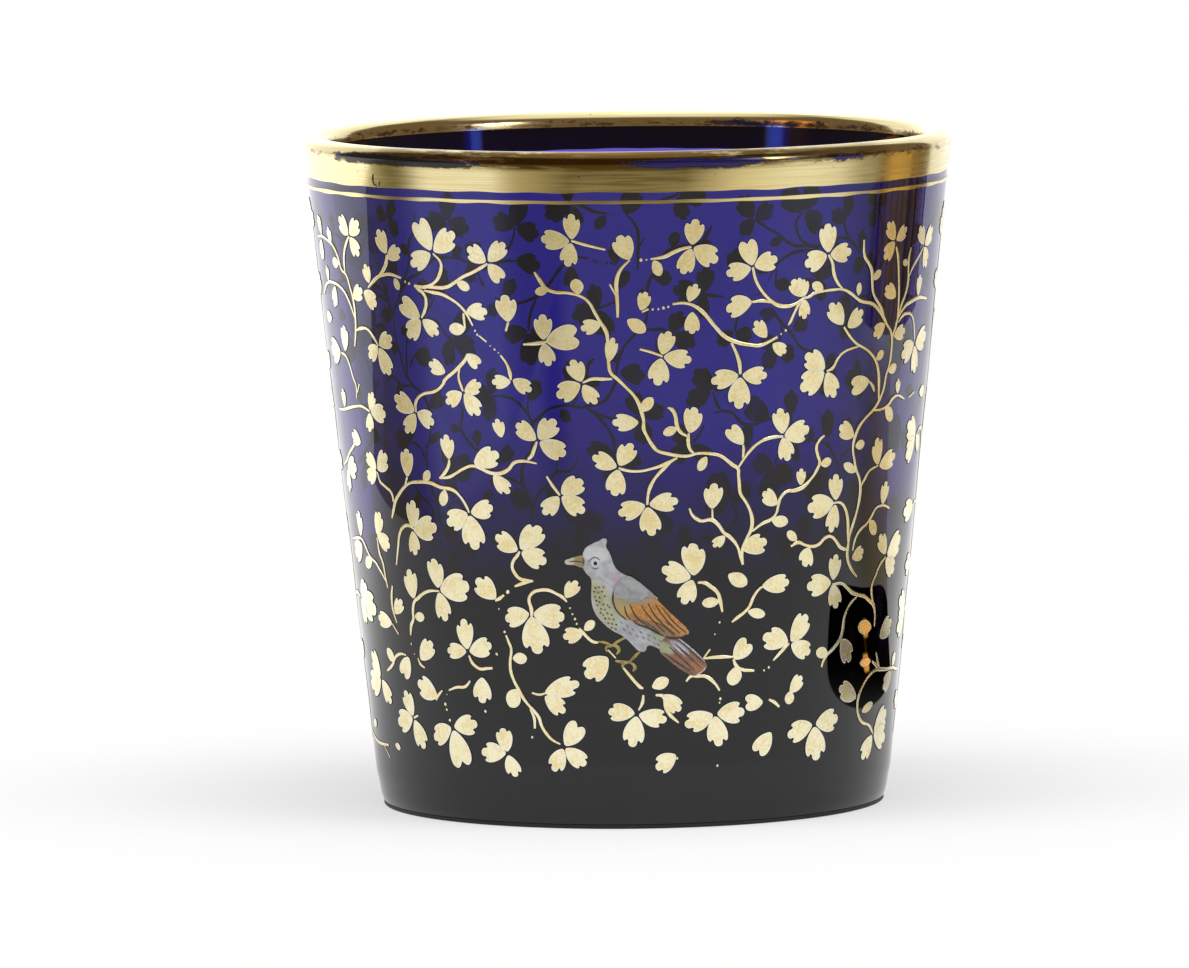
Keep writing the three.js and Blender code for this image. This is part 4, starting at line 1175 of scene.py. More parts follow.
        leaf((49, 23.8), (52.9, 20.7)),
        bud((45.2, 22), (41.6, 22.6)),
        bud((60, 24.8), (54.4, 25.1), 0.85),
        bud((61, 20.2), (56.3, 20.1), 0.7),
        stem((61.6, 20.1), (63.2, 19.6), (65, 19), (66.9, 18.7)),
        stem((63.2, 21.2), (64.3, 20), (65.6, 19)),
        stem((80, 17.9), (77.3, 18.1), (74.7, 18.4), (70.1, 18.5), (66.7, 18.7), (63.5, 18.8), (61.3, 18.4),
             (59.7, 17.8), (58.1, 16.8), (57.1, 15.8), (56.8, 14.4), (57.9, 12.8), (59.7, 12), (62.1, 11.6),
             (63.7, 11), (65.1, 10.2)),
        leaf((56, 15.6), (49.4, 17.2), 0.8),
        bud((58.7, 13.5), (63.7, 14.4), 0.65),
        trefoil((65, 10.2), (72.8, 12.6), (60.5, 6.9), (73.3, 8.8)),
        leaves(((64.2, 23.2), (70.4, 25)), ((73.6, 17.8), (68.4, 16.2))),
        bud((74.4, 18.6), (74.6, 20.6), 1.3),
        stem((63.7, 34), (61.3, 33), (60, 31.8), (58.7, 30.4), (58.9, 29.4), (60, 27.8)),
        leaves(((63.8, 33.8), (68.8, 31.6)), ((63.7, 34.4), (60, 37.2)), ((64.2, 34.3), (71.5, 35.8))),
    ],
    "foot_sprig": [
        heart((28.6, 16.4), (24.3, 16.4)),
        stem((30, 16.7), (31.4, 16.3), (32.7, 15.6)),
        leaf((35.2, 17.4), (38.4, 19.4)),
        bud((35.4, 17.6), (34.8, 15.8), 1.3),
        heart((30.9, 12.3), (27.4, 9.6)),
    ],
    "right_foot_trefoil": [
        trefoil((42.4, 12.8), (35, 11.7), (50, 13), (44.2, 7.8)),
    ],
    "crown_vine": [
        trefoil((-10, 78.4), (-9.8, 82.1), (-15.6, 78.4), (-11, 75)),
        stem((-10, 78.5), (-7.8, 78), (-4, 77.3)),
        trail((2.4, 76.1), (3.4, 76)),
        stem((4, 76), (6.6, 76.3), (8, 76.8), (9.8, 77.3), (11.3, 77.5)),
        trefoil((11.4, 77.5), (12.2, 81.2), (10, 73.8), (16.4, 75.6)),
        leaf((0.3, 75.9), (-1.6, 79.2), 1.15),
        stem((0.3, 75.9), (-1.4, 74.6), (-2.1, 73.2), (-2.1, 71.6), (-2, 70.2), (-2, 68.3)),
        stem((-3.3, 72.7), (-2.2, 71.2)),
        bud((4.5, 75.8), (6, 73.8)),
    ],
    "centre_vine": [
        stem((-17, 74.3), (-16, 73.2), (-15, 72.2), (-13.4, 71.7), (-11, 71.6), (-8.2, 71), (-7, 70.2),
             (-6.2, 69.1), (-5.2, 67.8), (-4.2, 66.6), (-3.9, 65.6), (-3.9, 64), (-3.8, 62.4), (-3.4, 61),
             (-2.2, 60.2), (-0.8, 59.2), (0.8, 58), (1.8, 56.8), (2.3, 55.6), (2.6, 54.6), (2.6, 53.6),
             (3.2, 52.6), (4.4, 51.2), (5.2, 50.6), (7, 50.2), (9, 49.9), (11, 49.8), (13, 50.1),
             (15.4, 50), (17.6, 49.6), (20, 48.4), (21.2, 47.8), (21.3, 47), (21.5, 46), (21.8, 44.6),
             (23, 43.4), (24, 42.2), (24.5, 41), (24.4, 39.8), (23.4, 38.4), (22.6, 37), (22.8, 35)),
        bud((-14.6, 72), (-17.1, 71.6)),
        bud((-9, 71.4), (-9.4, 73.5), 1.3),
        leaf((-5, 67.5), (-8.9, 67)),
        leaf((-3.8, 62.4), (-2.6, 65.7), 0.7),
        stem((-3.2, 60.2), (-5, 60.2), (-7, 60.2), (-8.7, 59.7)),
        trefoil((-8.8, 59.6), (-10.6, 62.8), (-13.8, 57.8), (-6.2, 56.8)),
        bud((2.2, 55.8), (4.5, 57.6)),
        leaf((1.7, 54.4), (-3.4, 54.2)),
        stem((9, 49.6), (7, 48.9), (4, 48.2), (1.2, 47.9), (-1.6, 48.2), (-2.2, 48.4)),
        trefoil((-2.2, 48.4), (-7.4, 49.8), (0, 51.8), (-3.4, 44.6)),
        stem((8, 49.2), (6.4, 48.2), (4.8, 47), (3.8, 45.8), (3.4, 44.8), (3.2, 43.4)),
        trefoil((3.2, 43.4), (-2.6, 42.4), (9.4, 43.7), (4.4, 39.2)),
        stem((12.2, 50.1), (11.4, 50.8), (11.1, 52), (11.2, 52.8)),
        leaf((11.3, 52.8), (12.8, 56.2)),
        stem((10.9, 52.4), (9.6, 53), (8.9, 54), (8.6, 55.2), (8, 56), (7.2, 56.3)),
        buds(((9, 53.5), (6.2, 52.8)), ((14.8, 49.6), (13, 47.8))),
        stem((21.2, 48), (22.4, 49.2), (23.6, 50.2), (25.2, 51.1), (27, 51.6), (29, 51.8), (30.6, 51.8)),
        trefoil((30.4, 51.9), (29.9, 55.7), (36.7, 52.3), (31.8, 48.4)),
        stem((22.1, 49.2), (22.2, 50.4), (22.1, 51)),
        leaf((22.1, 51), (19, 53.4)),
        stem((24.6, 39.4), (26.6, 40.3), (28.6, 40.8), (29.8, 41.6), (30.2, 42.6), (30.6, 43.6), (32, 44.4),
             (34, 44.5), (36, 44.9), (37.6, 45.8), (39, 47), (39.6, 48), (39, 49), (38.6, 50.2), (39.4, 51),
             (40.4, 51.5)),
        leaf((30, 42.8), (26.4, 44.4)),
        bud((28.8, 40.8), (32.6, 40)),
        leaf((35.2, 45.1), (35.4, 47.4)),
        bud((39.8, 47.7), (42.7, 47.9)),
        leaf((22.5, 37), (27.9, 38.3)),
        stem((22.8, 35), (22.3, 36), (21.6, 37.4), (20.2, 38.6), (18.6, 39.4), (17.4, 40.5), (15.8, 41.2),
             (13.8, 41.1), (12.2, 41.8), (11.5, 42.8)),
        stem((16.2, 41.2), (16.1, 42.6)),
        leaves(((16.1, 42.6), (16.6, 46.1)), ((18.8, 39), (16.6, 37.4))),
        trefoil((6, 63.1), (7.6, 66.4), (11.6, 62.2), (4.8, 59.2)),
        stem((2, 64.1), (4, 63.7), (6.2, 63.1)),
    ],
    "upper_right_vine": [
        leaf((2.2, 69.2), (3.2, 71.7)),
        stem((2.4, 69), (3.6, 69.4)),
        trail((4.4, 69.5), (5.4, 69.5), (6.4, 69.7), (7.2, 69.8)),
        stem((8, 70), (10, 70.1), (11.6, 69.8), (13.6, 68.8), (16, 66.8), (18, 65.4), (20, 64.7),
             (23, 64.2), (25, 64.1), (26.6, 64.5), (28.4, 65.1)),
        trail((29.2, 65.6), (30, 66.1)),
        stem((30.6, 66.6), (31, 67), (31.8, 68.2), (32.8, 69.4), (33.8, 70.1)),
        bud((-0.3, 68), (3, 66.2)),
        leaves(((11, 70.2), (12.4, 72.6)), ((11.6, 68.9), (11.6, 65.9))),
        stem((19.2, 64.6), (20.2, 63.2), (20.8, 62), (21.1, 60.4)),
        trefoil((21.1, 60.3), (15.2, 59.8), (26.6, 59.8), (21, 55.7)),
        leaves(((26.2, 65.1), (23.6, 67.4)), ((27.4, 64.2), (30.4, 62.9))),
        trefoil((33.8, 70.1), (31.1, 72.7), (33.4, 72.6), (34.1, 67.2)),
        stem((33.8, 70.1), (31.8, 69.3), (30, 69.1), (28, 69.4), (26.4, 70.2), (24.8, 71.4), (23.6, 72.8),
             (22.9, 74.5)),
        trefoil((22.9, 74.5), (21.7, 78.2), (27.7, 75.8), (17.8, 73.6)),
        stem((27, 69.7), (25, 70), (23, 69.9)),
        leaf((23, 69.9), (17.8, 69.4)),
    ],
    "right_vine": [
        stem((33.8, 70.1), (35, 70.2), (36, 70.6), (38, 70.8), (40.6, 70.9), (43, 70.8), (45, 70.2),
             (46.6, 69.5), (48, 69), (51.2, 68.5), (53.3, 67.6), (55.2, 66.4), (56.5, 65.4), (58.1, 64.4),
             (58.7, 63), (58.7, 61), (58.4, 60), (57.6, 58.8), (57.1, 57), (55.7, 55.4), (53.9, 54.2),
             (51.5, 53.2), (49.9, 52.2), (48.8, 50.8), (48.5, 49.4), (49.1, 48), (49.9, 46.6), (51.2, 45.2),
             (51.7, 44), (51.7, 42.6), (51.2, 41), (50.1, 39), (49.3, 37.4), (49.1, 36), (49.1, 35),
             (50.4, 33.4), (52.8, 32)),
        buds(((38, 71), (35.4, 72)), ((47, 69.8), (47, 71.6))),
        stem((42.8, 70.9), (41.4, 71.8), (40.4, 73), (39.8, 74.6), (38.8, 75.6)),
        trefoil((38.8, 75.6), (37.8, 79.8), (33.4, 74.5), (44.4, 76)),
        stem((55.2, 66.6), (54.1, 67.8), (52.5, 68.9), (51.2, 70), (50.7, 71.4), (50.3, 73), (49.3, 74),
             (48, 75), (47.5, 77.2)),
        bud((50.7, 71.8), (53.1, 72.9)),
        stem((60, 66), (60.1, 67.4), (59.9, 69.4), (59.2, 72), (58.4, 74.4), (57.5, 75.8)),
        trefoil((57, 76.6), (53.9, 79.2), (60.8, 78.2), (53.5, 74.4)),
        stem((58.7, 63), (59, 64.2), (59.5, 64.8), (60.3, 66.4), (61.3, 68), (62.7, 69.6), (63.2, 71.2),
             (62.9, 72.4), (62.7, 74), (63.2, 75.4)),
        bud((62.3, 73.2), (60.4, 73.8)),
        stem((63.2, 71.4), (64.8, 72.8), (66.7, 73.8), (69.3, 75.2)),
        trefoil((69.3, 75.3), (66.4, 78.2), (74.1, 77.4), (72, 72.4)),
        leaves(((58.7, 69), (55, 70.8)), ((68.5, 68.6), (68.5, 71.6))),
        stem((60.3, 66.2), (62.7, 67.6), (65.3, 68.1), (69.3, 68.4), (74.1, 68)),
        stem((60.5, 65.6), (62.1, 66.4), (64, 66.6), (66.1, 66.2), (67.5, 65.2), (68.3, 63.8),
             (68.8, 62.6)),
        trefoil((68.9, 62.3), (76.3, 62.8), (62.9, 60.8), (70.7, 58.2)),
        leaves(((59.2, 63.8), (63.7, 64.4)), ((55.7, 65.6), (52.3, 64))),
        buds(((53.6, 61), (56, 62)), ((58.1, 59.2), (61.3, 59.8))),
        stem((43.7, 65.8), (45.3, 64.6), (47.5, 63.4), (50.1, 62.6), (52, 61.8), (53.6, 60.8), (54.7, 59.4),
             (55.2, 58), (55.5, 56.2), (55.7, 55.4)),
        leaves(((43.4, 66.1), (39.8, 69.2)), ((44.6, 65.7), (48.8, 67.6))),
        stem((40, 60.1), (41.4, 60.4), (42.6, 61.6), (44, 62.4), (46, 62.8), (48, 63)),
        trefoil((39.8, 60.2), (34.8, 62.8), (33.8, 57.9), (42.4, 56.4)),
        leaf((52, 58.2), (46.7, 57.4)),
        stem((52, 58.2), (53.3, 57.4), (53.9, 56.7)),
        leaf((48.5, 51), (44.2, 52.7)),
        bud((49.1, 49.7), (52, 49.9)),
        bud((49.9, 46.2), (45.9, 47.4), 0.7),
        stem((51.7, 44), (52.8, 45), (54.1, 46), (55.7, 46.4), (57.4, 46.6)),
        leaf((57.3, 46.7), (55.7, 50.4)),
        leaf((57.7, 46.5), (64.3, 47.5), 0.85),
        stem((53.9, 54.2), (57.1, 54.2), (59.2, 54.6), (60.8, 55.4), (62.7, 55.7), (64.5, 55.4),
             (66.1, 55)),
        bud((58.1, 54.2), (61.6, 52.6)),
        leaf((62.7, 55.9), (62.7, 58)),
        stem((68.3, 55.1), (71.5, 55.7)),
        bud((75.2, 55.4), (80, 55.4), 0.8),
        stem((43.4, 42.3), (45.9, 42.3), (47.5, 41.4), (48.4, 40), (48.8, 38.4), (48.9, 37)),
        trefoil((44.5, 42.4), (44.2, 46.3), (37, 42.2), (43.9, 38.3)),
        stem((49, 35.8), (48, 36), (46.6, 36.4), (45.4, 37.2), (43.8, 37.9), (42.4, 37.8), (41, 37.1),
             (39.2, 36.8), (37, 37.1), (35.4, 37.5), (33.6, 37)),
        bud((35, 37.8), (32.4, 39)),
        leaf((38.2, 36.7), (36.8, 34.2), 1.5),
        stem((50.7, 35.6), (51.5, 37.4), (52.8, 38.3), (54.9, 39), (56.5, 40), (57.6, 40.8), (59.7, 41.1),
             (61.9, 40.9), (63.5, 40.5)),
        leaf((60.3, 41.2), (61, 44.4)),
        bud((55.7, 39.4), (58.7, 37.4)),
        leaf((50.6, 34.6), (54.4, 35.5)),
    ],
    "left_edge_vine": [
        stem((-86, 9), (-84, 15), (-86.4, 24), (-84, 34), (-86.4, 44), (-84, 54), (-86, 64), (-84.4, 71),
             (-84, 78)),
        trefoil((-84, 78), (-87.4, 80.4), (-80.6, 80), (-85, 82)),
        leaves(((-85, 69), (-80.8, 71.2)), ((-85, 59), (-81.2, 61.4)), ((-84.4, 54), (-88.4, 56.2)),
               ((-85.8, 46), (-81, 47.4)), ((-84.8, 37), (-88.8, 38.6))),
        stem((-85.4, 28.4), (-81, 29), (-77.4, 28.6)),
        trefoil((-77, 28.6), (-71.4, 30.8), (-66.8, 27), (-74, 25.2)),
        leaf((-85.4, 20), (-81.2, 22)),
        bud((-79, 11.2), (-75.8, 11.8)),
        stem((-85.4, 10.6), (-80, 9.4), (-76, 9), (-72, 9), (-68.5, 9.1)),
        stem((-71.5, 8.8), (-68.5, 7.4)),
        bud((-64.5, 9.4), (-62, 9.1)),
    ],
    "right_edge_vine": [
        stem((84, 9), (86.5, 17), (84, 26), (86, 34), (84.6, 42), (84, 48), (86, 57), (84, 66), (84.4, 76)),
        trefoil((84.4, 76), (80.6, 78.4), (88, 78.6), (84.2, 80.6)),
        leaves(((84, 69), (80.2, 71.2)), ((84.4, 63.6), (88.6, 65.4)), ((85.4, 53), (89.2, 55))),
        stem((84.2, 47.4), (82, 49.6), (80, 50.4), (75.6, 49.4)),
        trefoil((75.6, 49.4), (69.2, 51.8), (69.6, 47), (80, 48)),
        stem((84.8, 40), (82, 40.4), (79.5, 39.8)),
        leaf((79.5, 39.8), (71.5, 39.6), 0.8),
        leaf((85, 32), (77.4, 32.2), 0.8),
        stem((84.6, 26.4), (82, 25.6)),
        leaves(((82, 25.6), (74.6, 27.6)), ((82, 25.4), (74.8, 23.4)), ((85.6, 20.4), (89.2, 21.6)),
               ((85.6, 13.6), (80, 13.4))),
    ],
}

# The far side repeats the front, with this spray in the bird's place
CENTRE_SPRIG: list[list[Stroke]] = [
    stem((-6.4, 23.6), (-2.4, 26), (1.6, 27.2), (5.6, 27.8), (9.6, 27.4)),
    trefoil((-6.4, 23.6), (-11.2, 22.4), (-5.6, 20), (-2.4, 22.6)),
    stem((1.6, 27.2), (0.4, 29.4), (-1.4, 31), (-5.4, 32.6)),
    trefoil((-5.4, 32.6), (-6.4, 36.4), (-9.8, 33.8), (-5, 29.4)),
    leaves(((9.4, 27.4), (13.2, 25.4)), ((4.6, 27.2), (4.4, 23))),
]


def rounded(points: list[Place], steps: int = 3) -> list[Place]:
    """Rounds an open outline by a curve through its points.

    Args:
        points: the outline's points.
        steps: how many steps each of its stretches takes.

    Returns:
        The points of the curve, both ends among them.
    """
    ends = [points[0], *points, points[-1]]
    curve = []
    for before, first, second, after in zip(ends, ends[1:], ends[2:], ends[3:]):
        for step in range(steps):
            t = step / steps
            weights = (
                (-t + 2 * t**2 - t**3) / 2,
                (2 - 5 * t**2 + 3 * t**3) / 2,
                (t + 4 * t**2 - 3 * t**3) / 2,
                (t**3 - t**2) / 2,
            )
            around = (before, first, second, after)
            curve.append(tuple(sum(w * p[axis] for w, p in zip(weights, around)) for axis in (0, 1)))
    return [*curve, points[-1]]


def brushed_lines(
    wall: Wall,
    stems: list[Stem],
    foot: float,
    depth: float,
    material: Material,
    broader: float = 0.0,
) -> Piece:
    """Draws stems as flat-topped strokes that swell and thin along the way.

    Args:
        wall: what they are drawn for.
        stems: the strokes, all of one width.
        foot: the height of their underside, in millimetres.
        depth: their thickness.
        material: their finish.
        broader: how much broader than written they are drawn.

    Returns:
        The flat strokes as one piece, in millimetres.
    """
    deselect()
    bpy.ops.curve.primitive_bezier_curve_add()
    line = bpy.context.active_object
    line.data.splines.clear()
    for number, stroke in enumerate(stems):
        hand = random.Random(f"{stroke.places[0]}{number}")
        spline = line.data.splines.new("BEZIER")
        last = len(stroke.places) - 1
        spline.bezier_points.add(last)
        for i, (point, place) in enumerate(zip(spline.bezier_points, stroke.places)):
            point.co = wall.flat(place)
            point.handle_left_type = point.handle_right_type = "AUTO"
            point.radius = hand.uniform(0.8, 1.25) * (0.6 if i in (0, last) else 1.0)
        spline.resolution_u = 4
    width = stems[0].width + broader
    line.data.dimensions = "3D"
    line.data.bevel_depth = width / 2
    line.data.bevel_resolution = 2
    line.data.use_fill_caps = True
    bpy.ops.object.convert(target="MESH")
    line = bpy.context.active_object
    for vertex in line.data.vertices:
        share = max(-1.0, min(1.0, 2.2 * vertex.co.z / width))
        vertex.co.z = foot + depth * (1 + share) / 2
    line.data.materials.append(material)
    return line


@dataclass
class Painter:
    """Draws strokes flat, in millimetres, each from one modelled leaf or one brushed line."""

    wall: Wall
    gold: Material
    # The paler gold of each leaf's edge: a painted highlight
    rim_highlight_gold: Material
    # The dark line round each stroke: painted shade at its edge
    ground: Material
    reverse: Material
    thickness: float = 0.05  # of the fired gold, a little over the real film so that it takes light
    shaded_edge: float = 0.025  # share of a leaf's length by which its dark edge, painted shade, shows round it
    rim: float = 0.026  # share of a leaf's length along its edge that takes the paler gold, a painted highlight
    lift: float = 0.02
    stem_rise: float = 1.1  # how thick a stem is beside a leaf
    shaded_edge_rise: float = 0.5
    shaded_edge_margin: float = 0.17  # by which a stem's dark edge, painted shade, is broader
    usual_forms: tuple[tuple[LeafForm, int], ...] = (
        (LeafForm.THREE_LOBED, 14),
        (LeafForm.BLUNT, 5),
        (LeafForm.TWO_LOBED, 1),
    )  # how often the painter took each form
    models: dict[LeafForm, Piece] = field(default_factory=dict)

    def leaf_model(self, form: LeafForm) -> Piece:
        """Models a leaf of unit length, its base at the origin and its tip along Y, once for each form.

        Args:
            form: the leaf's form.

        Returns:
            The modelled leaf.
        """
        if form in self.models:
            return self.models[form]
        half = rounded(HALF_OUTLINES[form], 2)
        outline = [(across, along) for along, across in half]
        mirrored = outline[:-1] if half[-1][1] == 0 else outline
        outline += [(-across, along) for across, along in reversed(mirrored)]
        deselect()
        bpy.ops.mesh.primitive_circle_add(vertices=len(outline), fill_type="NGON")
        model = bpy.context.active_object
        for vertex, (across, along) in zip(model.data.vertices, outline):
            vertex.co = (across, along, 0)
        bpy.ops.object.mode_set(mode="EDIT")
        bpy.ops.mesh.select_all(action="SELECT")
        bpy.ops.mesh.normals_make_consistent(inside=False)
        bpy.ops.mesh.inset(thickness=self.shaded_edge)
        bpy.ops.transform.translate(value=(0, 0, 1))
        bpy.ops.mesh.inset(thickness=self.rim)
        bpy.ops.mesh.select_all(action="SELECT")
        bpy.ops.mesh.region_to_loop()
        bpy.ops.mesh.edge_face_add()
        bpy.ops.mesh.select_all(action="SELECT")
        bpy.ops.mesh.normals_make_consistent(inside=False)
        bpy.ops.object.mode_set(mode="OBJECT")
        for finish in (self.gold, self.ground, self.rim_highlight_gold):
            model.data.materials.append(finish)
        for face in model.data.polygons:
            # The top's edge takes the paler gold, a painted highlight; the sides take the dark edge, painted
            # shade
            on_top = 0 if len(face.vertices) > 4 else 2
            face.material_index = on_top if face.normal.z > 0.9 else 1
        model.hide_render = True
        self.models[form] = model
        return model

    def place_leaf(self, stroke: Leaf, chance: random.Random) -> Piece:
        """Copies a leaf's model to its place, a little varied as a painter's hand varies.

        Args:
            stroke: the leaf.
            chance: draws the chances of this spray.

        Returns:
            The placed leaf.
        """
        forms, weights = zip(*self.usual_forms)
        usual = chance.choices(forms, weights=weights)[0]
        model = self.leaf_model(stroke.form or usual)
        copy = model.copy()
        copy.data = model.data.copy()
        copy.hide_render = False
        bpy.context.scene.collection.objects.link(copy)
        start, end = self.wall.flat(stroke.base), self.wall.flat(stroke.tip)
        start = start.lerp(end, stroke.gap)
        stretch = self.wall.mean_radius / self.wall.radius((start.y + end.y) / 2)
        run, rise = (end.x - start.x) / stretch, end.y - start.y
        broad = stroke.breadth * chance.uniform(0.92, 1.08)
        lean = chance.uniform(-0.08, 0.08)
        across = Vector((rise * broad * stretch, -run * broad, 0))
        along = Vector((run * stretch, rise, 0)) + across * lean
        across += along * chance.uniform(-0.13, 0.13)
        onto_wall = Matrix((across, along, Vector((0, 0, self.thickness)))).transposed().to_4x4()
        onto_wall.translation = start + Vector((0, 0, self.lift))
        copy.data.transform(onto_wall)
        return copy

    def dots(self, strokes: list[Trail], chance: random.Random) -> list[Piece]:
        """Draws the specks of gold that are left of worn stems.

        Args:
            strokes: the worn stems.
            chance: draws the chances of this spray.

        Returns:
            The specks.
        """
        specks = []
        for stroke in strokes:
            for around, level in stroke.places:
                size = stroke.size * chance.uniform(0.8, 1.5)
                turn = math.degrees(size / self.wall.mean_radius)
                tip = around + turn * chance.uniform(-0.6, 0.6), level - size * chance.uniform(0.6, 1.2)
                specks.append(self.place_leaf(Leaf((around, level), tip, LeafForm.BUD, 1.3), chance))
        return specks

    def draw(self, name: str, strokes: list[Stroke]) -> Piece:
        """Draws a spray flat, as one piece.

        Args:
            name: the new piece's name.
            strokes: its leaves, stems and dots.

        Returns:
            The flat spray, in millimetres.
        """
        chance = random.Random(name)
        parts = [self.place_leaf(s, chance) for s in strokes if isinstance(s, Leaf)]
        parts += self.dots([s for s in strokes if isinstance(s, Trail)], chance)
        stems = [s for s in strokes if isinstance(s, Stem)]
        if stems:
            rise, low = self.thickness * self.stem_rise, self.thickness * self.shaded_edge_rise
            parts.append(brushed_lines(self.wall, stems, self.lift, rise, self.gold))
            parts.append(brushed_lines(self.wall, stems, self.lift, low, self.ground, self.shaded_edge_margin))
        spray = joined(name, parts)
        spray.data.materials.append(self.reverse)
        last = len(spray.data.materials) - 1
        for face in spray.data.polygons:
            face.material_index = last if face.normal.z < -0.5 else face.material_index
        return spray


@dataclass
class Vines:
    """The gilt vines all round the beaker."""

    wall: Wall
    painter: Painter
    back_turn: float = 180
    thinner: float = 0.6  # share of a stem's width that it has on the far side
    crease: float = 12  # degrees from which an edge stays sharp, so that the leaves look flat
    made_behind: tuple[str, ...] = (
        "crown_vine", "left_mid_vine", "left_side_vine", "left_side_sprig", "left_foot_vine", "perch_arch",
        "perch_branch", "tail_branch", "foot_sprig", "right_foot_trefoil", "centre_sprig",
    )

    def build(self) -> None:
        """Draws each spray at the front, and again behind."""
        for name, strokes in SPRAYS.items():
            flat = self.painter.draw(name + "_gilding", sum(strokes, []))
            front = self.wall.lay(flat)
            smooth(front, self.crease)
            add_to_object(front, "vine_gilding", name)
            self.behind(name, sum(strokes, []))
        self.behind("centre_sprig", sum(CENTRE_SPRIG, []))
        for model in self.painter.models.values():
            bpy.data.objects.remove(model)

    def behind(self, name: str, strokes: list[Stroke]) -> None:
        """Draws a spray on the far side, its stems thinner, in place of the CAD's where there is one.

        Args:
            name: the spray's name.
            strokes: its strokes.
        """
        thin = [Stem(s.places, s.width * self.thinner) if isinstance(s, Stem) else s for s in strokes]
        back = self.wall.lay(self.painter.draw("back_" + name + "_gilding", thin))
        back.data.transform(Matrix.Rotation(math.radians(self.back_turn), 4, "Z"))
        smooth(back, self.crease)
        add_to_object(back, "vine_gilding", *(["back_" + name] if name in self.made_behind else []))


# The bird, in raised enamels


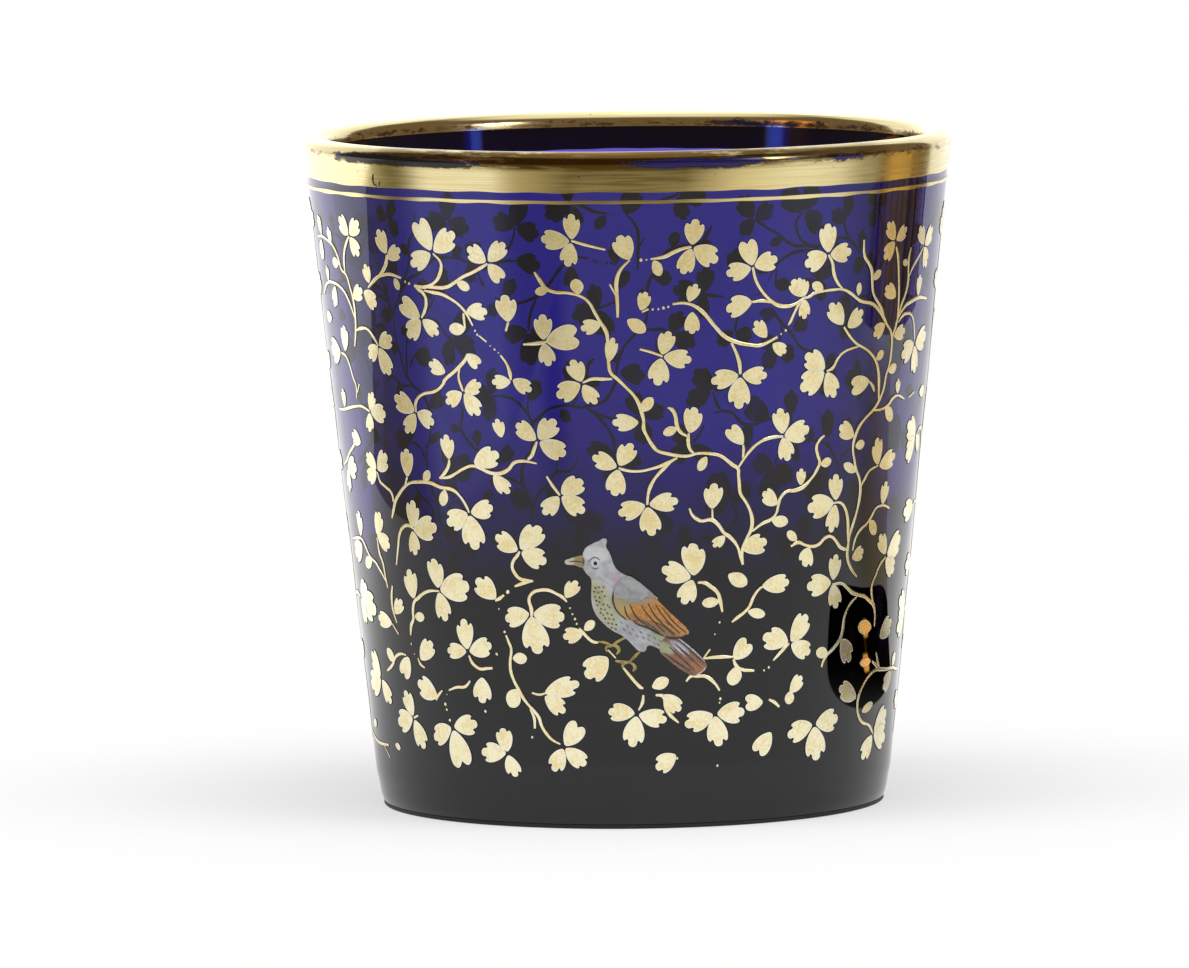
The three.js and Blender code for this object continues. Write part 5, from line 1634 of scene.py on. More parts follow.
@dataclass
class Bird:
    """A small crested songbird that stands on the branch and looks left, in raised enamels."""

    wall: Wall
    slice_width: float = 0.5  # millimetres between the cuts that let a flat enamel bend round the wall
    body_top: float = 0.3  # how far each enamel's face stands off the glass, in millimetres
    wing_top: float = 0.42
    covert_top: float = 0.5
    line_depth: float = 0.05
    crease: float = 35  # degrees from which an edge stays sharp
    materials: dict[str, Material] = field(default_factory=dict)

    head_and_body: tuple[Place, ...] = (
        (-9.64, 36.62), (-9.09, 37.64), (-7.79, 38.24), (-6.25, 38.7), (-5.45, 38.98), (-4.85, 38.85),
        (-4.95, 37.85), (-4.4, 37.2), (-4.03, 36.6), (-3.06, 35), (-1.55, 34.2), (0.22, 33.7), (3.2, 31.5),
        (7, 28.8), (9.4, 27.2), (9.8, 26.3), (9.2, 25.3), (8.2, 24.4), (6.4, 23.9), (4.8, 24.4),
        (3.2, 24.6), (2.6, 23.9), (1.2, 24), (0.4, 24.5), (-0.6, 25.2), (-2, 26), (-4, 26.7), (-6, 27.8),
        (-7.4, 29), (-8, 30.2), (-8.1, 31.6), (-8, 33), (-8.1, 33.64), (-8.97, 34.32), (-9.71, 35.17),
    )
    wing: tuple[Place, ...] = (
        (-3.3, 32.4), (-3.75, 31.2), (-3.5, 29.9), (-2.5, 28.9), (-1.2, 28.2), (0.3, 28), (1.2, 27.5),
        (3, 27.1), (4.9, 26.4), (6.7, 25.8), (8.3, 25.6), (9.8, 25.65), (11.1, 25.9), (11.6, 26.2),
        (11.2, 26.75), (9.8, 27.7), (7.4, 29.2), (5.1, 30.75), (3.5, 31.8), (1.1, 33.2), (-0.9, 33.85),
        (-2.3, 33.3),
    )
    coverts: tuple[Place, ...] = (
        (-3.3, 32.4), (-3.6, 31.5), (-3.2, 31.05), (-2.1, 30.9), (-0.9, 30.55), (0.6, 30.45), (1.7, 30.55),
        (2.5, 30.95), (3.6, 31.2), (4.6, 31.05), (5.1, 30.8), (4.4, 31.45), (3.2, 32.2), (1.1, 33.35),
        (-0.9, 34), (-2.4, 33.4),
    )
    tail: tuple[Place, ...] = (
        (7.4, 25.9), (9.4, 25.55), (11.6, 24.5), (13.2, 23.5), (15.1, 22.25), (15.5, 21.8), (15.2, 21.25),
        (14.1, 20.75), (12.8, 20.45), (11.2, 20.85), (9.2, 21.7), (7.2, 22.8), (5.6, 24),
    )
    beak: tuple[Place, ...] = (
        (-13.3, 35.8), (-11.98, 36.33), (-10.67, 36.62), (-9.5, 36.6), (-9.55, 35.2), (-11.25, 35.42),
    )
    eye_white: tuple[Place, ...] = (
        (-7.95, 35.72), (-7.55, 36.02), (-7.1, 36.1), (-6.6, 35.9), (-6.4, 35.62), (-6.8, 35.36),
        (-7.25, 35.24), (-7.7, 35.44),
    )
    gape: Lines = (
        ((-12.4, 35.85), (-11, 35.95), (-9.5, 35.8)),
        ((-9.62, 36.5), (-9.5, 35.9), (-9.62, 35.3)),
    )
    lids: Lines = (
        ((-8.45, 35.85), (-7.75, 36.36), (-6.9, 36.46), (-6.2, 36.1)),
        ((-7.9, 35.15), (-7.2, 34.95), (-6.5, 35.1)),
    )
    pupil: Place = (-7.12, 35.68)
    pupil_radius: float = 0.27
    throat_spots: tuple[Place, ...] = (
        (-7.2, 32.4), (-6.5, 32.5), (-5.6, 32.5), (-7.5, 31.9), (-6.7, 31.8), (-5.9, 31.9), (-7.4, 31.2),
        (-6.4, 31.1), (-5.4, 31.3), (-7.1, 30.7), (-6.5, 30.5), (-5.7, 30.2), (-4.9, 30.1), (-6.9, 30.1),
        (-6.2, 29.6), (-5.4, 29.5), (-4.5, 29.8), (-6.3, 29.1), (-5.8, 28.8), (-4.9, 29), (-4.1, 28.8),
        (-5.4, 28.3), (-4.6, 28.3), (-3.7, 28.2), (-4.8, 27.7), (-4, 27.6), (-3.2, 27.5), (-4.1, 27.1),
        (-3.3, 26.9),
    )
    breast_flecks: tuple[Place, ...] = (
        (-2.16, 27.8), (-0.98, 27.34), (0.2, 26.82), (1.78, 26.45), (3.36, 26.04), (4.55, 25.64),
        (5.75, 25.23), (3.36, 25.39), (0.98, 25.96), (5.35, 24.75), (-1.6, 26.8), (-0.4, 26.3), (2.3, 25.7),
        (6.6, 25.4), (7.2, 24.6), (4.4, 25),
    )
    feather_lines: Lines = (
        ((-1.45, 30), (-1.1, 28.9), (-0.2, 28.1)),
        ((-0.4, 30.2), (0.9, 28.5), (3.4, 27.2)),
        ((1.8, 30.1), (3.3, 28.7), (6.6, 26.4)),
        ((3.2, 30.3), (4.8, 28.5), (8.6, 26.1)),
        ((4.7, 30.1), (6.6, 28.3), (9.7, 26.2)),
        ((6.1, 29.7), (8.3, 27.8), (11, 26.25)),
    )
    feather_tips: Lines = (
        ((0.6, 28.05), (2.4, 27.9), (4.2, 27.1), (5.6, 26.3)),
        ((3.6, 27.95), (5.6, 27.5), (7.4, 26.6), (8.6, 25.8)),
        ((6.4, 27.9), (8.2, 27.1), (9.6, 26.2)),
    )
    wing_edge: Lines = (
        ((-2.3, 33.25), (-3.1, 32.4), (-3.75, 31.2), (-3.5, 30), (-2.6, 29), (-1.2, 28.2)),
        ((0.2, 28.05), (1.2, 27.5), (3, 27.1), (4.9, 26.4), (6.4, 25.9)),
        ((6.7, 25.8), (8.3, 25.6), (9.8, 25.65), (11.2, 26)),
    )
    tail_streaks: Lines = (
        ((6.6, 23.6), (9.2, 22.3), (11.9, 21.1)),
        ((7.6, 24.4), (10.2, 22.8), (12.9, 21.2)),
        ((8.8, 24.8), (11.6, 23.1), (14.2, 21.5)),
        ((9.3, 25.3), (12, 23.8), (14.9, 22.1)),
    )
    pale_streaks: Lines = (
        ((8, 24.75), (9.5, 23.95), (10.9, 23.1)),
        ((9.2, 24.95), (10.6, 24.05), (11.7, 23.4)),
        ((9.2, 25.65), (11.6, 24.4), (13.4, 23.35), (15, 22.3)),
        ((13.3, 20.6), (14.4, 20.95), (15.25, 21.5)),
    )
    front_foot: Lines = (
        ((-1.2, 25.8), (-3.01, 25.21), (-4.14, 24.64)),
        ((-4.1, 24.66), (-5.6, 25.1), (-7, 25.2)),
        ((-4.2, 24.6), (-5.3, 24.45), (-5.2, 23.85)),
        ((-4, 24.66), (-3.2, 24.6), (-2.75, 24), (-3.3, 23.5)),
    )
    rear_foot: Lines = (
        ((2.05, 24.1), (0.54, 23.25), (-0.59, 22.48)),
        ((-0.6, 22.46), (-2.2, 22.5), (-3.5, 22.65)),
        ((-0.8, 22.4), (-1.9, 22.25), (-2, 21.7)),
        ((-0.6, 22.4), (0.1, 22.2), (0.5, 21.6), (0, 21.25)),
    )

    def enamel(
        self, name: str, outline: tuple[Place, ...], finish: Enamel, foot: float, top: float, *names: str
    ) -> None:
        """Lays one enamel: a closed outline, raised from foot to top with a rounded edge.

        Args:
            name: the new piece's name.
            outline: places round its edge.
            finish: its enamel.
            foot: how far its underside stands off the glass, in millimetres.
            top: how far its face stands off the glass.
            names: its slot, then the CAD node that it stands for, where there is one.
        """
        deselect()
        bpy.ops.curve.primitive_bezier_circle_add()
        shape = bpy.context.active_object
        shape.data.splines.clear()
        spline = shape.data.splines.new("BEZIER")
        spline.bezier_points.add(len(outline) - 1)
        for point, place in zip(spline.bezier_points, outline):
            point.co = self.wall.flat(place)
            point.handle_left_type = point.handle_right_type = "AUTO"
        spline.use_cyclic_u = True
        spline.resolution_u = 5
        edge = min((top - foot) * 0.35, 0.05)
        shape.data.dimensions = "2D"
        shape.data.fill_mode = "BOTH"
        shape.data.bevel_depth = edge
        shape.data.bevel_resolution = 2
        shape.data.offset = -edge
        shape.data.extrude = (top - foot) / 2 - edge
        bpy.ops.object.convert(target="MESH")
        piece = bpy.context.active_object
        piece.name = name
        piece.data.transform(Matrix.Translation((0, 0, (top + foot) / 2)))
        self.slice(piece)
        piece.data.materials.append(self.fired(finish))
        self.wall.lay(piece)
        smooth(piece, self.crease)
        add_to_object(piece, *names)

    def fired(self, finish: Enamel) -> Material:
        """The material of an enamel, which is made once.

        Args:
            finish: the enamel.

        Returns:
            The material.
        """
        if finish.name not in self.materials:
            self.materials[finish.name] = finish.material(self.wall)
        return self.materials[finish.name]

    def slice(self, piece: Piece) -> None:
        """Cuts a flat piece into upright strips, so that it can bend.

        Args:
            piece: the flat piece, in millimetres.
        """
        low = min(corner[0] for corner in piece.bound_box)
        high = max(corner[0] for corner in piece.bound_box)
        select(piece)
        bpy.ops.object.mode_set(mode="EDIT")
        cut = low + self.slice_width
        while cut < high:
            bpy.ops.mesh.select_all(action="SELECT")
            bpy.ops.mesh.bisect(plane_co=(cut, 0, 0), plane_no=(1, 0, 0))
            cut += self.slice_width
        bpy.ops.mesh.select_all(action="SELECT")
        bpy.ops.mesh.remove_doubles(threshold=0.0005)
        bpy.ops.mesh.normals_make_consistent(inside=False)
        bpy.ops.object.mode_set(mode="OBJECT")

    def lines(
        self,
        name: str,
        strokes: Lines,
        width: float,
        foot: float,
        finish: Enamel,
        *names: str,
        depth: float | None = None,
    ) -> None:
        """Lays painted lines on the enamels.

        Args:
            name: the new piece's name.
            strokes: the places that each line goes through.
            width: of the lines, in millimetres.
            foot: how far their underside stands off the glass.
            finish: their enamel.
            names: their slot, then the CAD node that they stand for, where there is one.
            depth: their thickness, or None for the usual one.
        """
        stems = [Stem(stroke, width) for stroke in strokes]
        piece = brushed_lines(self.wall, stems, foot, depth or self.line_depth, self.fired(finish))
        piece.name = name
        self.wall.lay(piece)
        smooth(piece)
        add_to_object(piece, *names)

    def dabs(self, places: tuple[Place, ...], size: float) -> Lines:
        """Very short lines at places, which read as dabs of the brush."""
        return tuple(((a - size / 2, z + size / 3), (a + size / 2, z - size / 3)) for a, z in places)

    def build_body(self) -> None:
        """Lays the head, body and breast with their washes, spots and flecks."""
        tints = (
            Tint("C8C8C8", (-6.9, 36.9), (2.3, 1.3), 10, 0.85),
            Tint("ABAB8A", (-5.6, 30.3), (4.4, 1.75), 66),
            Tint("8F9268", (-6.8, 31.4), (2, 0.8), 66, 0.6),
            Tint("AC96A4", (-2.6, 33.3), (2.1, 0.9), 48, 0.9),
            Tint("9DA68A", (6.4, 25.2), (2.7, 1), 32),
            Tint("96979B", (-2.6, 35.2), (2.4, 0.6), 55, 0.5),
            Tint("94929A", (2.7, 24.4), (1.5, 0.7), 20, 0.7),
        )
        plumage = Enamel("plumage_grey_enamel", "B4B5B7", "9B9C9F", tints, (1.1, 0.25, 1.1))
        top, slot = self.body_top, "plumage_enamel"
        self.enamel("bird_body_enamel", self.head_and_body, plumage, 0.02, top, slot, "bird_body")
        olive = Enamel("olive_spot_enamel", "4B4C34", "3A3B2A")
        self.lines("throat_spot_enamel", self.dabs(self.throat_spots, 0.28), 0.3, top, olive, slot)
        slate = Enamel("slate_fleck_enamel", "6B6F76", "565A62")
        self.lines("breast_fleck_enamel", self.dabs(self.breast_flecks, 0.5), 0.2, top, slate, slot)

    def build_wing(self) -> None:
        """Lays the wing: orange flight feathers under grey coverts, with dark feather lines."""
        tints = (
            Tint("AE9656", (-2.2, 29.8), (2.2, 1.2), 40),
            Tint("94624A", (2.8, 27.6), (3.3, 0.7), 30, 0.9),
            Tint("866048", (6.6, 26.5), (2.8, 0.7), 24, 0.9),
            Tint("767256", (5, 27), (3, 0.35), 28, 0.5),
            Tint("B27E4C", (10.2, 26.6), (1.5, 0.7), 33, 0.8),
            Tint("918C7C", (0.4, 30.5), (4, 0.5), -3, 0.8),
        )
        flight = Enamel("orange_feather_enamel", "C08440", "A26D34", tints, (0.4, 0.4, 0.4))
        top, slot = self.wing_top, "wing_enamel"
        self.enamel("bird_wing_enamel", self.wing, flight, 0.2, top, slot, "bird_wing")
        tints = (
            Tint("8E8B79", (-0.6, 30.7), (3.4, 0.45), 4, 0.8),
            Tint("A5A6A6", (0.5, 32.6), (2.2, 0.7), 30, 0.6),
        )
        grey = Enamel("covert_grey_enamel", "98999B", "85878A", tints)
        self.enamel("wing_covert_enamel", self.coverts, grey, 0.3, self.covert_top, "plumage_enamel")
        dark = Enamel("feather_line_enamel", "2F352F", "20251F")
        self.lines("feather_line_enamel", self.feather_lines, 0.19, top - 0.01, dark, slot)
        moss = Enamel("feather_tip_enamel", "4C5240", "3B4133")
        self.lines("feather_tip_enamel", self.feather_tips, 0.17, top - 0.01, moss, slot)
        self.lines("wing_edge_enamel", self.wing_edge, 0.25, top - 0.03, dark, slot, depth=0.1)

    def build_tail(self) -> None:
        """Lays the tail with its lavender root, dark streaks and bright edge."""
        tints = (
            Tint("9DA37E", (6.7, 24.3), (1.8, 0.9), 30),
            Tint("A4A6B4", (9.7, 24.5), (1.8, 0.5), 32, 0.95),
            Tint("A56C45", (13.8, 21.5), (1.7, 0.8), 30, 0.9),
            Tint("955F46", (9.4, 22.7), (1.8, 0.35), 30, 0.7),
        )
        russet = Enamel("russet_tail_enamel", "876450", "6A4E3E", tints, (0.35, 0.35, 0.35))
        top, slot = self.body_top, "tail_enamel"
        self.enamel("bird_tail_enamel", self.tail, russet, 0.03, top + 0.04, slot, "bird_tail")
        dark = Enamel("tail_streak_enamel", "45362F", "33291F")
        self.lines("tail_streak_enamel", self.tail_streaks, 0.19, top + 0.03, dark, slot)
        pale = Enamel("tail_edge_enamel", "BFC0C8", "A5A3AC")
        self.lines("tail_edge_enamel", self.pale_streaks, 0.2, top, pale, slot, depth=0.1)

    def build_head(self) -> None:
        """Lays the beak and the eye."""
        tints = (
            Tint("BDBB9E", (-12.6, 35.9), (1.3, 0.9)),
            Tint("94794A", (-10.2, 35.9), (1.2, 0.9), strength=0.7),
        )
        horn = Enamel("beak_horn_enamel", "938A66", "786F50", tints)
        self.enamel("bird_beak_enamel", self.beak, horn, 0.02, self.body_top, "horn_enamel", "bird_beak")
        dark = Enamel("beak_line_enamel", "4B4428", "39341F")
        self.lines("beak_line_enamel", self.gape, 0.16, self.body_top - 0.01, dark, "horn_enamel")
        self.build_eye()

    def build_eye(self) -> None:
        """Lays the eye's white, its pupil and its lids."""
        white = Enamel("eye_white_enamel", "D9DADF", "C4C6CF")
        top, slot = self.body_top, "plumage_enamel"
        self.enamel("eye_white_enamel", self.eye_white, white, 0.26, top + 0.05, slot)
        blue_black = Enamel("eye_pupil_enamel", "2B3040", "1C202C", roughness=0.25)
        wide = math.degrees(self.pupil_radius / self.wall.radius(self.pupil[1]))
        ring = tuple(
            (self.pupil[0] + wide * math.cos(turn), self.pupil[1] + self.pupil_radius * math.sin(turn))
            for turn in (math.tau * i / 8 for i in range(8))
        )
        self.enamel("bird_eye_enamel", ring, blue_black, 0.3, top + 0.11, "pupil_enamel", "bird_eye")
        slate = Enamel("lid_line_enamel", "565A66", "454955")
        self.lines("eye_lid_enamel", self.lids, 0.13, top, slate, slot)

    def build_feet(self) -> None:
        """Lays the legs, with toes that close round the branch."""
        ochre = Enamel("leg_ochre_enamel", "A8985A", "857444")
        for name, strokes in (("front_foot", self.front_foot), ("rear_foot", self.rear_foot)):
            node = "bird_" + name
            self.lines(node + "_enamel", strokes, 0.43, 0.04, ochre, "horn_enamel", node, depth=0.3)

    def build(self) -> None:
        """Lays the enamels from the body out."""
        self.build_body()
        self.build_tail()
        self.build_wing()
        self.build_head()
        self.build_feet()


# The studio


@dataclass(frozen=True)
class Softbox:
    """A square softbox that hangs in the studio and faces the beaker's middle."""

    name: str
    azimuth: float  # degrees from the front towards +X
    elevation: float  # degrees above the table
    distance: float
    size: float
    power: float  # watts
    aim: float = 45  # the height that it faces

    def hang(self) -> None:
        """Hangs it. Mirrors show the room's lights in its place."""
        light = bpy.data.lights.new(self.name, "AREA")
        light.shape = "SQUARE"
        light.size = self.size * MM
        light.energy = self.power
        lamp = bpy.data.objects.new(self.name, light)
        bpy.context.scene.collection.objects.link(lamp)
        lamp.visible_glossy = lamp.visible_transmission = False
        towards = Vector(towards_azimuth(self.azimuth, self.elevation))
        lamp.location = towards * self.distance * MM + Vector((0, 0, self.aim * MM))
        lamp.rotation_euler = towards.to_track_quat("Z", "Y").to_euler()


@dataclass(frozen=True)
class Glow:
    """A soft round light in the room, for mirrors only."""

    azimuth: float
    elevation: float
    reach: float  # its radius in degrees
    colour: str
    strength: float = 0.0  # what it adds to the room's own

    def share(self, node: Adder, direction: Socket) -> Socket:
        """1 where a ray looks at its middle and 0 outside it.

        Args:
            node: adds a node to the tree that is built.
            direction: the way that a ray looks.

        Returns:
            The glow's share.
        """
        centre = towards_azimuth(self.azimuth, self.elevation)
        facing = node("VectorMath DOT_PRODUCT", direction, centre, out="Value")
        return node("MapRange", facing, math.cos(math.radians(self.reach)), 1.0)


def towards_azimuth(around: float, up: float) -> tuple[float, float, float]:
    """The direction from the beaker to an azimuth and elevation in degrees, of length 1."""
    turn, rise = math.radians(around), math.radians(up)
    return math.sin(turn) * math.cos(rise), -math.cos(turn) * math.cos(rise), math.sin(rise)


@dataclass(frozen=True)
class Oval:
    """A squarish oval on the table, which only mirrors show."""

    centre: Place  # to the right of the beaker's axis, and behind it
    reach: Place
    soft: float  # the share of its reach that its edge takes
    colour: str

    def share(self, node: Adder, places: Socket) -> Socket:
        """1 inside it and 0 outside.

        Args:
            node: adds a node to the tree that is built.
            places: places in millimetres.

        Returns:
            The oval's share.
        """
        mapped = node(
            "Mapping", places, vector_type="TEXTURE", Location=(*self.centre, 0), Scale=(*self.reach, 1)
        )
        square = node("VectorMath MULTIPLY", mapped, mapped)
        off = node("VectorMath LENGTH", square, out="Value")
        return node("MapRange", off, 1.0 - self.soft, 1.0, 1.0, 0.0)


@dataclass
class Table:
    """The table: white paper that takes the beaker's shadow. Mirrors see it as a lit sheet with edges."""

    white: str = "F7F7F8"
    size: float = 8000
    drop: float = 0.05
    shadow_fade: tuple[float, float] = (34, 115)  # distances over which the shadow gives out
    edge_slope: float = 0.27  # the sheet lies askew by this
    right_edge: tuple[float, float] = (331, 333)
    front_edge: tuple[float, float] = (-334, -346)
    left_edge: tuple[float, float] = (-195, -197)
    front_shade: str = "D9D0B6"
    lit_lobes: tuple[Patch, ...] = ((-60, 34), (64, 36))
    lobe_colour: str = "F6F3E6"
    streak: Patch = (-27, 8)
    streak_colour: str = "8A8270"
    warm_patch: Oval = Oval((225, 90), (110, 85), 0.7, "C9BB98")
    dark_thing: Oval = Oval((122, 38), (37, 61), 0.07, "150E09")
    thing_edge: tuple[float, float] = (59, 61)  # where the dark thing and the warm patch are cut off behind
    spot_trail: Oval = Oval((122.5, 32), (13, 3), 0.9, "B07028")
    spots: tuple[Oval, ...] = (Oval((133, 34), (7, 6), 0.7, "FFB850"), Oval((112, 30), (7, 6), 0.7, "FFB850"))
    spot_strength: float = 5.0

    def build(self) -> None:
        """Lays the table and gives it its paper."""
        deselect()
        bpy.ops.mesh.primitive_plane_add(size=self.size * MM, location=(0, 0, -self.drop * MM))
        table = bpy.context.active_object
        table.name = "table"
        table.data.materials.append(self.paper())

    def paper(self) -> Material:
        """Builds the white paper: it takes shadow near the beaker, and mirrors see its lit sheet.

        Returns:
            The material.
        """
        material, node = new_material("white_paper")
        paths = node("LightPath").node.outputs
        places = object_places(node, (1 / MM, 1 / MM, 0))
        distance = node("VectorMath LENGTH", places, out="Value")
        glossy = paths["Is Glossy Ray"]
        seen = node("Math ADD", paths["Is Camera Ray"], paths["Is Transmission Ray"])
        seen = node("Math MINIMUM", node("Math ADD", seen, glossy), 1.0)
        colour, bright = self.mirrored_sheet(node, places, distance)
        sheet = node(
            "Emission",
            node("MixRGB", glossy, "FFFFFF", colour),
            blended_value(node, glossy, 1.0, bright),
        )
        fade = node("MapRange", distance, *self.shadow_fade, 0.5, 1.0)
        far = node("Math MULTIPLY", seen, fade)
        faded = node("MixShader", far, node("BsdfDiffuse", self.white), sheet)
        gone = node("Math MULTIPLY", glossy, self.off_sheet(node, places))
        node("OutputMaterial", node("MixShader", gone, faded, node("BsdfTransparent")))
        return material

    def mirrored_sheet(self, node: Adder, places: Socket, distance: Socket) -> tuple[Socket, Socket]:
        """What glass and gold see of the table: greyer in front, brighter behind, a dark thing on the right.

        Args:
            node: adds a node to the table's material.
            places: places on the table in millimetres.
            distance: from the beaker's axis, in millimetres.

        Returns:
            The colour and the strength.
        """
        around = azimuth(node, places)
        axes = node("SeparateXYZ", places).node.outputs
        across, behind = axes["X"], axes["Y"]
        in_front = node("MapRange", behind, -40, 110, 1.0, 0.0)
        shade = node("Math MULTIPLY", node("MapRange", distance, 80, 330), in_front)
        colour = node("MixRGB", shade, "F7F7F7", self.front_shade)
        lobes = node("Math MULTIPLY", strongest(node, around, self.lit_lobes), shade)
        colour = node("MixRGB", lobes, colour, self.lobe_colour)
        outer = node("MapRange", distance, 170, 240)
        streak = node("Math MULTIPLY", near(node, around, *self.streak), outer)
        colour = node("MixRGB", streak, colour, self.streak_colour)
        askew = node("Math MULTIPLY", across, self.edge_slope)
        nearer = node("Math SUBTRACT", behind, askew)
        nearer = node("MapRange", nearer, *self.thing_edge, 1.0, 0.0)
        for oval, limit in ((self.warm_patch, nearer), (self.dark_thing, nearer), (self.spot_trail, 0.4)):
            share = node("Math MULTIPLY", oval.share(node, places), limit)
            colour = node("MixRGB", share, colour, oval.colour)
        lit_behind = node("MapRange", behind, 20, 160)
        bright = node("Math MULTIPLY", lit_behind, node("MapRange", across, 60, 200, 0.6, 0.2))
        bright = node("Math ADD", bright, 1.0)
        for spot in self.spots:
            glowing = spot.share(node, places)
            colour = node("MixRGB", glowing, colour, spot.colour)
            extra = node("Math MULTIPLY", glowing, self.spot_strength)
            bright = node("Math ADD", bright, extra)
        return colour, bright

    def off_sheet(self, node: Adder, places: Socket) -> Socket:
        """1 beyond the sheet's front, left and right edges, where mirrors see the room instead.

        Args:
            node: adds a node to the tree that is built.
            places: places in millimetres.

        Returns:
            The share that is off the sheet.
        """
        axes = node("SeparateXYZ", places).node.outputs
        across, behind = axes["X"], axes["Y"]
        askew = node("Math MULTIPLY", behind, self.edge_slope)
        left = node("MapRange", node("Math ADD", across, askew), *self.left_edge)
        left = node("Math MULTIPLY", left, node("MapRange", behind, 119, 120, 1.0, 0.0))
        off = node("Math MAXIMUM", left, node("MapRange", across, *self.right_edge))
        return node("Math MAXIMUM", off, node("MapRange", behind, *self.front_edge))


@dataclass
class Room:
    """The room: plain white but in a mirror, which shows a dark room with soft lights at the front."""

    front: str = "AFA68B"
    window_lights: tuple[Patch, ...] = ((-66, 28, 2.2), (68, 50, 0.85))
    timber: tuple[str, str] = ("4A3A24", "DDB468")  # a cupboard on the right
    timber_shine: Patch = (115, 13, 0.6)
    door_gap: Patch = (137.3, 1.4)
    shade_glows: tuple[Glow, ...] = (Glow(-70, 19, 15, "FFB060"), Glow(-57, 1.5, 7, "A8A8FF"))
    bright_glows: tuple[Glow, ...] = (
        Glow(53, 20, 13, "FFFFFF", 4.0),
        Glow(-60, 6.5, 5, "5C74FF", 4.0),
        Glow(61, 6.5, 3.5, "5C74FF", 4.0),
    )
    diffuse_strength: float = 0.25

    def build(self) -> None:
        """Makes the room round the table."""
        world = bpy.data.worlds.new("studio")
        bpy.context.scene.world = world
        world.use_nodes = True
        world.node_tree.nodes.clear()
        node = partial(add_node, world.node_tree)
        paths = node("LightPath").node.outputs
        direction = node("TexCoord", out="Generated")
        around = azimuth(node, direction)
        upwards = node("SeparateXYZ", direction, out="Z")
        white = self.white_share(node, around, upwards)
        mirrored = node("MixRGB", white, self.dark_side(node, direction), "FFFFFF")
        back = node("Math ABSOLUTE", around)
        behind = node("MapRange", back, 140, 172, 1.0, 1.7)
        strength = node("Math SUBTRACT", behind, node("MapRange", around, 140, 172, 0.0, 0.4))
        for glow in self.bright_glows:
            share = glow.share(node, direction)
            mirrored = node("MixRGB", share, mirrored, glow.colour)
            extra = node("Math MULTIPLY", share, glow.strength)
            strength = node("Math ADD", strength, extra)
        glossy = paths["Is Glossy Ray"]
        colour = node("MixRGB", glossy, "FFFFFF", mirrored)
        strength = blended_value(node, glossy, 1.0, strength)
        strength = blended_value(node, paths["Is Diffuse Ray"], strength, self.diffuse_strength)
        node("OutputWorld", node("Background", colour, strength))

    def dark_side(self, node: Adder, direction: Socket) -> Socket:
        """The colours of the room in front of the beaker: lights, a wooden cupboard, floor and ceiling.

        Args:
            node: adds a node to the tree that is built.
            direction: the way that a ray looks.

        Returns:
            The colour.
        """
        around = azimuth(node, direction)
        upwards = node("SeparateXYZ", direction, out="Z")
        lights = node("Math ADD", *(near(node, around, *light) for light in self.window_lights))
        colour = node("MixRGB", node("Math MINIMUM", lights, 0.93), self.front, "FFFFFF")
        streaks = node("TexNoise", noise_dimensions="1D", W=around, Scale=0.35, Detail=3)
        streaks = node("MapRange", streaks, 0.35, 0.65, 0.0, 0.4)
        grain = node("Math ADD", streaks, near(node, around, *self.timber_shine))
        to_door = node("MapRange", around, 135, 136.4, 1.0, 0.0)
        in_timber = node("Math MULTIPLY", node("MapRange", around, 99, 105), to_door)
        colour = node("MixRGB", in_timber, colour, node("MixRGB", grain, *self.timber))
        colour = node("MixRGB", near(node, around, *self.door_gap), colour, "15120F")
        colour = node("MixRGB", node("MapRange", upwards, -0.15, 0.0), colour, "6B5A48")
        colour = node("MixRGB", node("MapRange", upwards, 0.76, 0.95), colour, "FFFFFF")
        for glow in self.shade_glows:
            colour = node("MixRGB", glow.share(node, direction), colour, glow.colour)
        return colour

    def white_share(self, node: Adder, around: Socket, upwards: Socket) -> Socket:
        """1 where the room is white paper: past both sides, but not high up, and all of the back.

        Args:
            node: adds a node to the tree that is built.
            around: the azimuth in degrees.
            upwards: the ray's rise, from -1 to 1.

        Returns:
            The share that is white.
        """
        left = node("MapRange", around, -123.5, -124.5)
        right = node("MapRange", around, 137.6, 138.6)
        sides = node("Math MAXIMUM", left, right)
        back = node("MapRange", node("Math ABSOLUTE", around), 140, 160)
        low = node("Math MAXIMUM", node("MapRange", upwards, 0.6, 0.93, 1.0, 0.0), back)
        return node("Math MULTIPLY", sides, low)


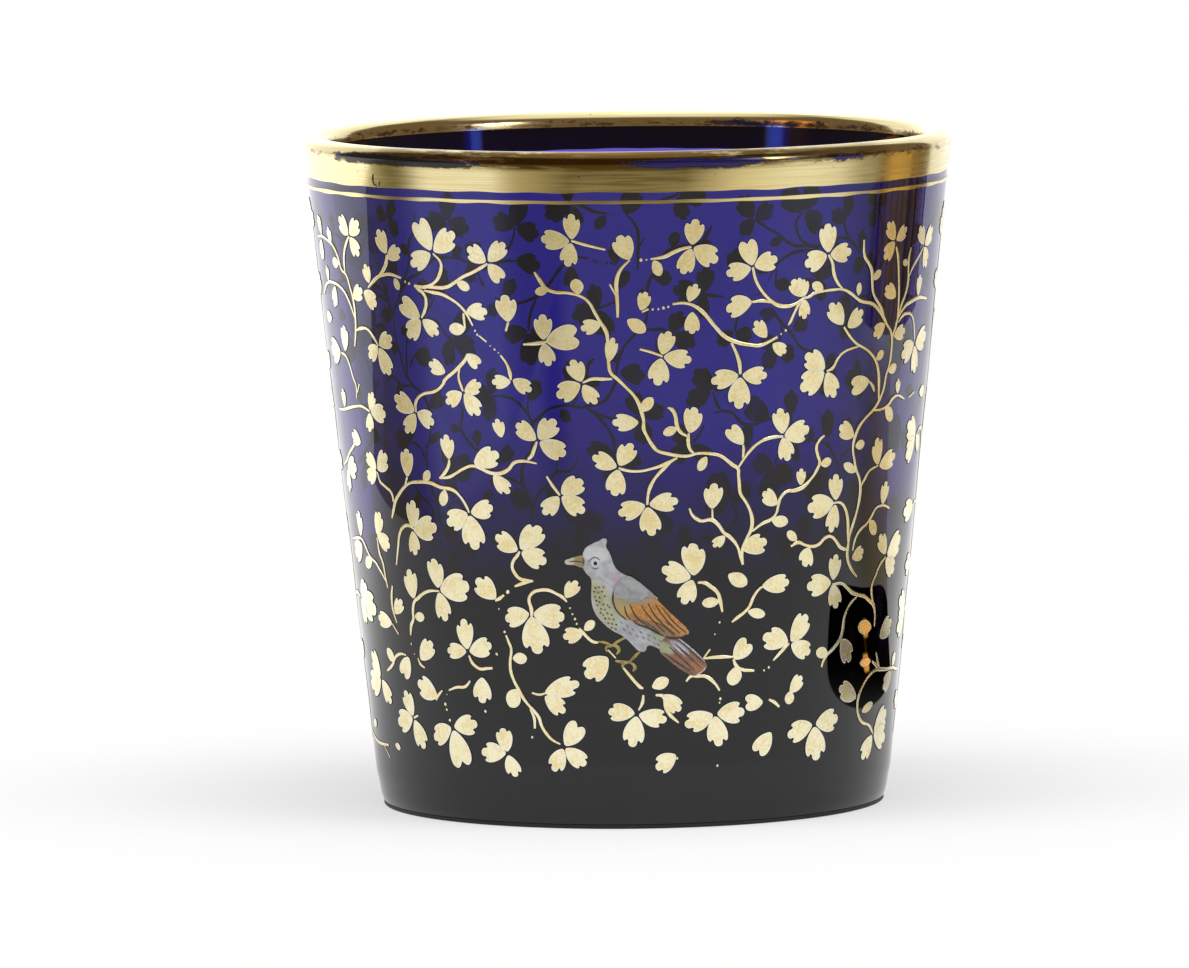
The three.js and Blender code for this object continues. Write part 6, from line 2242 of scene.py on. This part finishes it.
@dataclass
class Studio:
    """A white table and backdrop, soft lights, and a room that glass and gold mirror."""

    softboxes: tuple[Softbox, ...] = (
        Softbox("left_softbox", -68, 24, 620, 420, 2.0),
        Softbox("right_softbox", 66, 24, 620, 420, 2.0),
        Softbox("top_softbox", 10, 75, 800, 600, 2.6),
    )
    camera_distance: float = 1655.4
    camera_height: float = 197.84
    aim: tuple[float, float, float] = (-4.83, 0, 42.6)
    lens: float = 374.8
    roll: float = -0.65

    def build(self) -> None:
        """Sets the table, the room, the lights and the camera."""
        Table().build()
        Room().build()
        for softbox in self.softboxes:
            softbox.hang()
        self.camera()

    def camera(self) -> None:
        """Stands the camera where the photograph was taken from."""
        data = bpy.data.cameras.new("camera")
        data.lens = self.lens
        data.clip_end = 100
        camera = bpy.data.objects.new("camera", data)
        bpy.context.scene.collection.objects.link(camera)
        camera.location = Vector((0, -self.camera_distance, self.camera_height)) * MM
        away = camera.location - Vector(self.aim) * MM
        facing = away.to_track_quat("Z", "Y").to_matrix().to_4x4()
        rolled = facing @ Euler((0, 0, math.radians(self.roll))).to_matrix().to_4x4()
        camera.rotation_euler = rolled.to_euler()
        bpy.context.scene.camera = camera


def main() -> None:
    """Builds the beaker round its frame, and the studio."""
    logging.basicConfig(level=logging.INFO, format="%(name)s: %(message)s")
    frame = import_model()
    log.info("frame: %d nodes", len(frame["nodes"]))
    wall = Wall(height=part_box("glass_body")[1].z / MM)
    glass = Glass(wall)
    glass.build()
    # The dark line round the strokes, painted shade, which also marks the band's chips
    ground = EDGE_SHADE_AND_CHIPS.material(wall)
    reverse = GOLD_FROM_BEHIND.material()
    gilding = Gilding(glass, reverse)
    gilding.build()
    gilding.scratches(ground)
    # The paler gold of the leaves' edges: a painted highlight
    thick = RIM_HIGHLIGHT_GOLD.material()
    Vines(wall, Painter(wall, PaintedGold().material(), thick, ground, reverse)).build()
    Bird(wall).build()
    Studio().build()
    bpy.context.scene.view_settings.view_transform = "Standard"


if __name__ == "__main__":
    main()
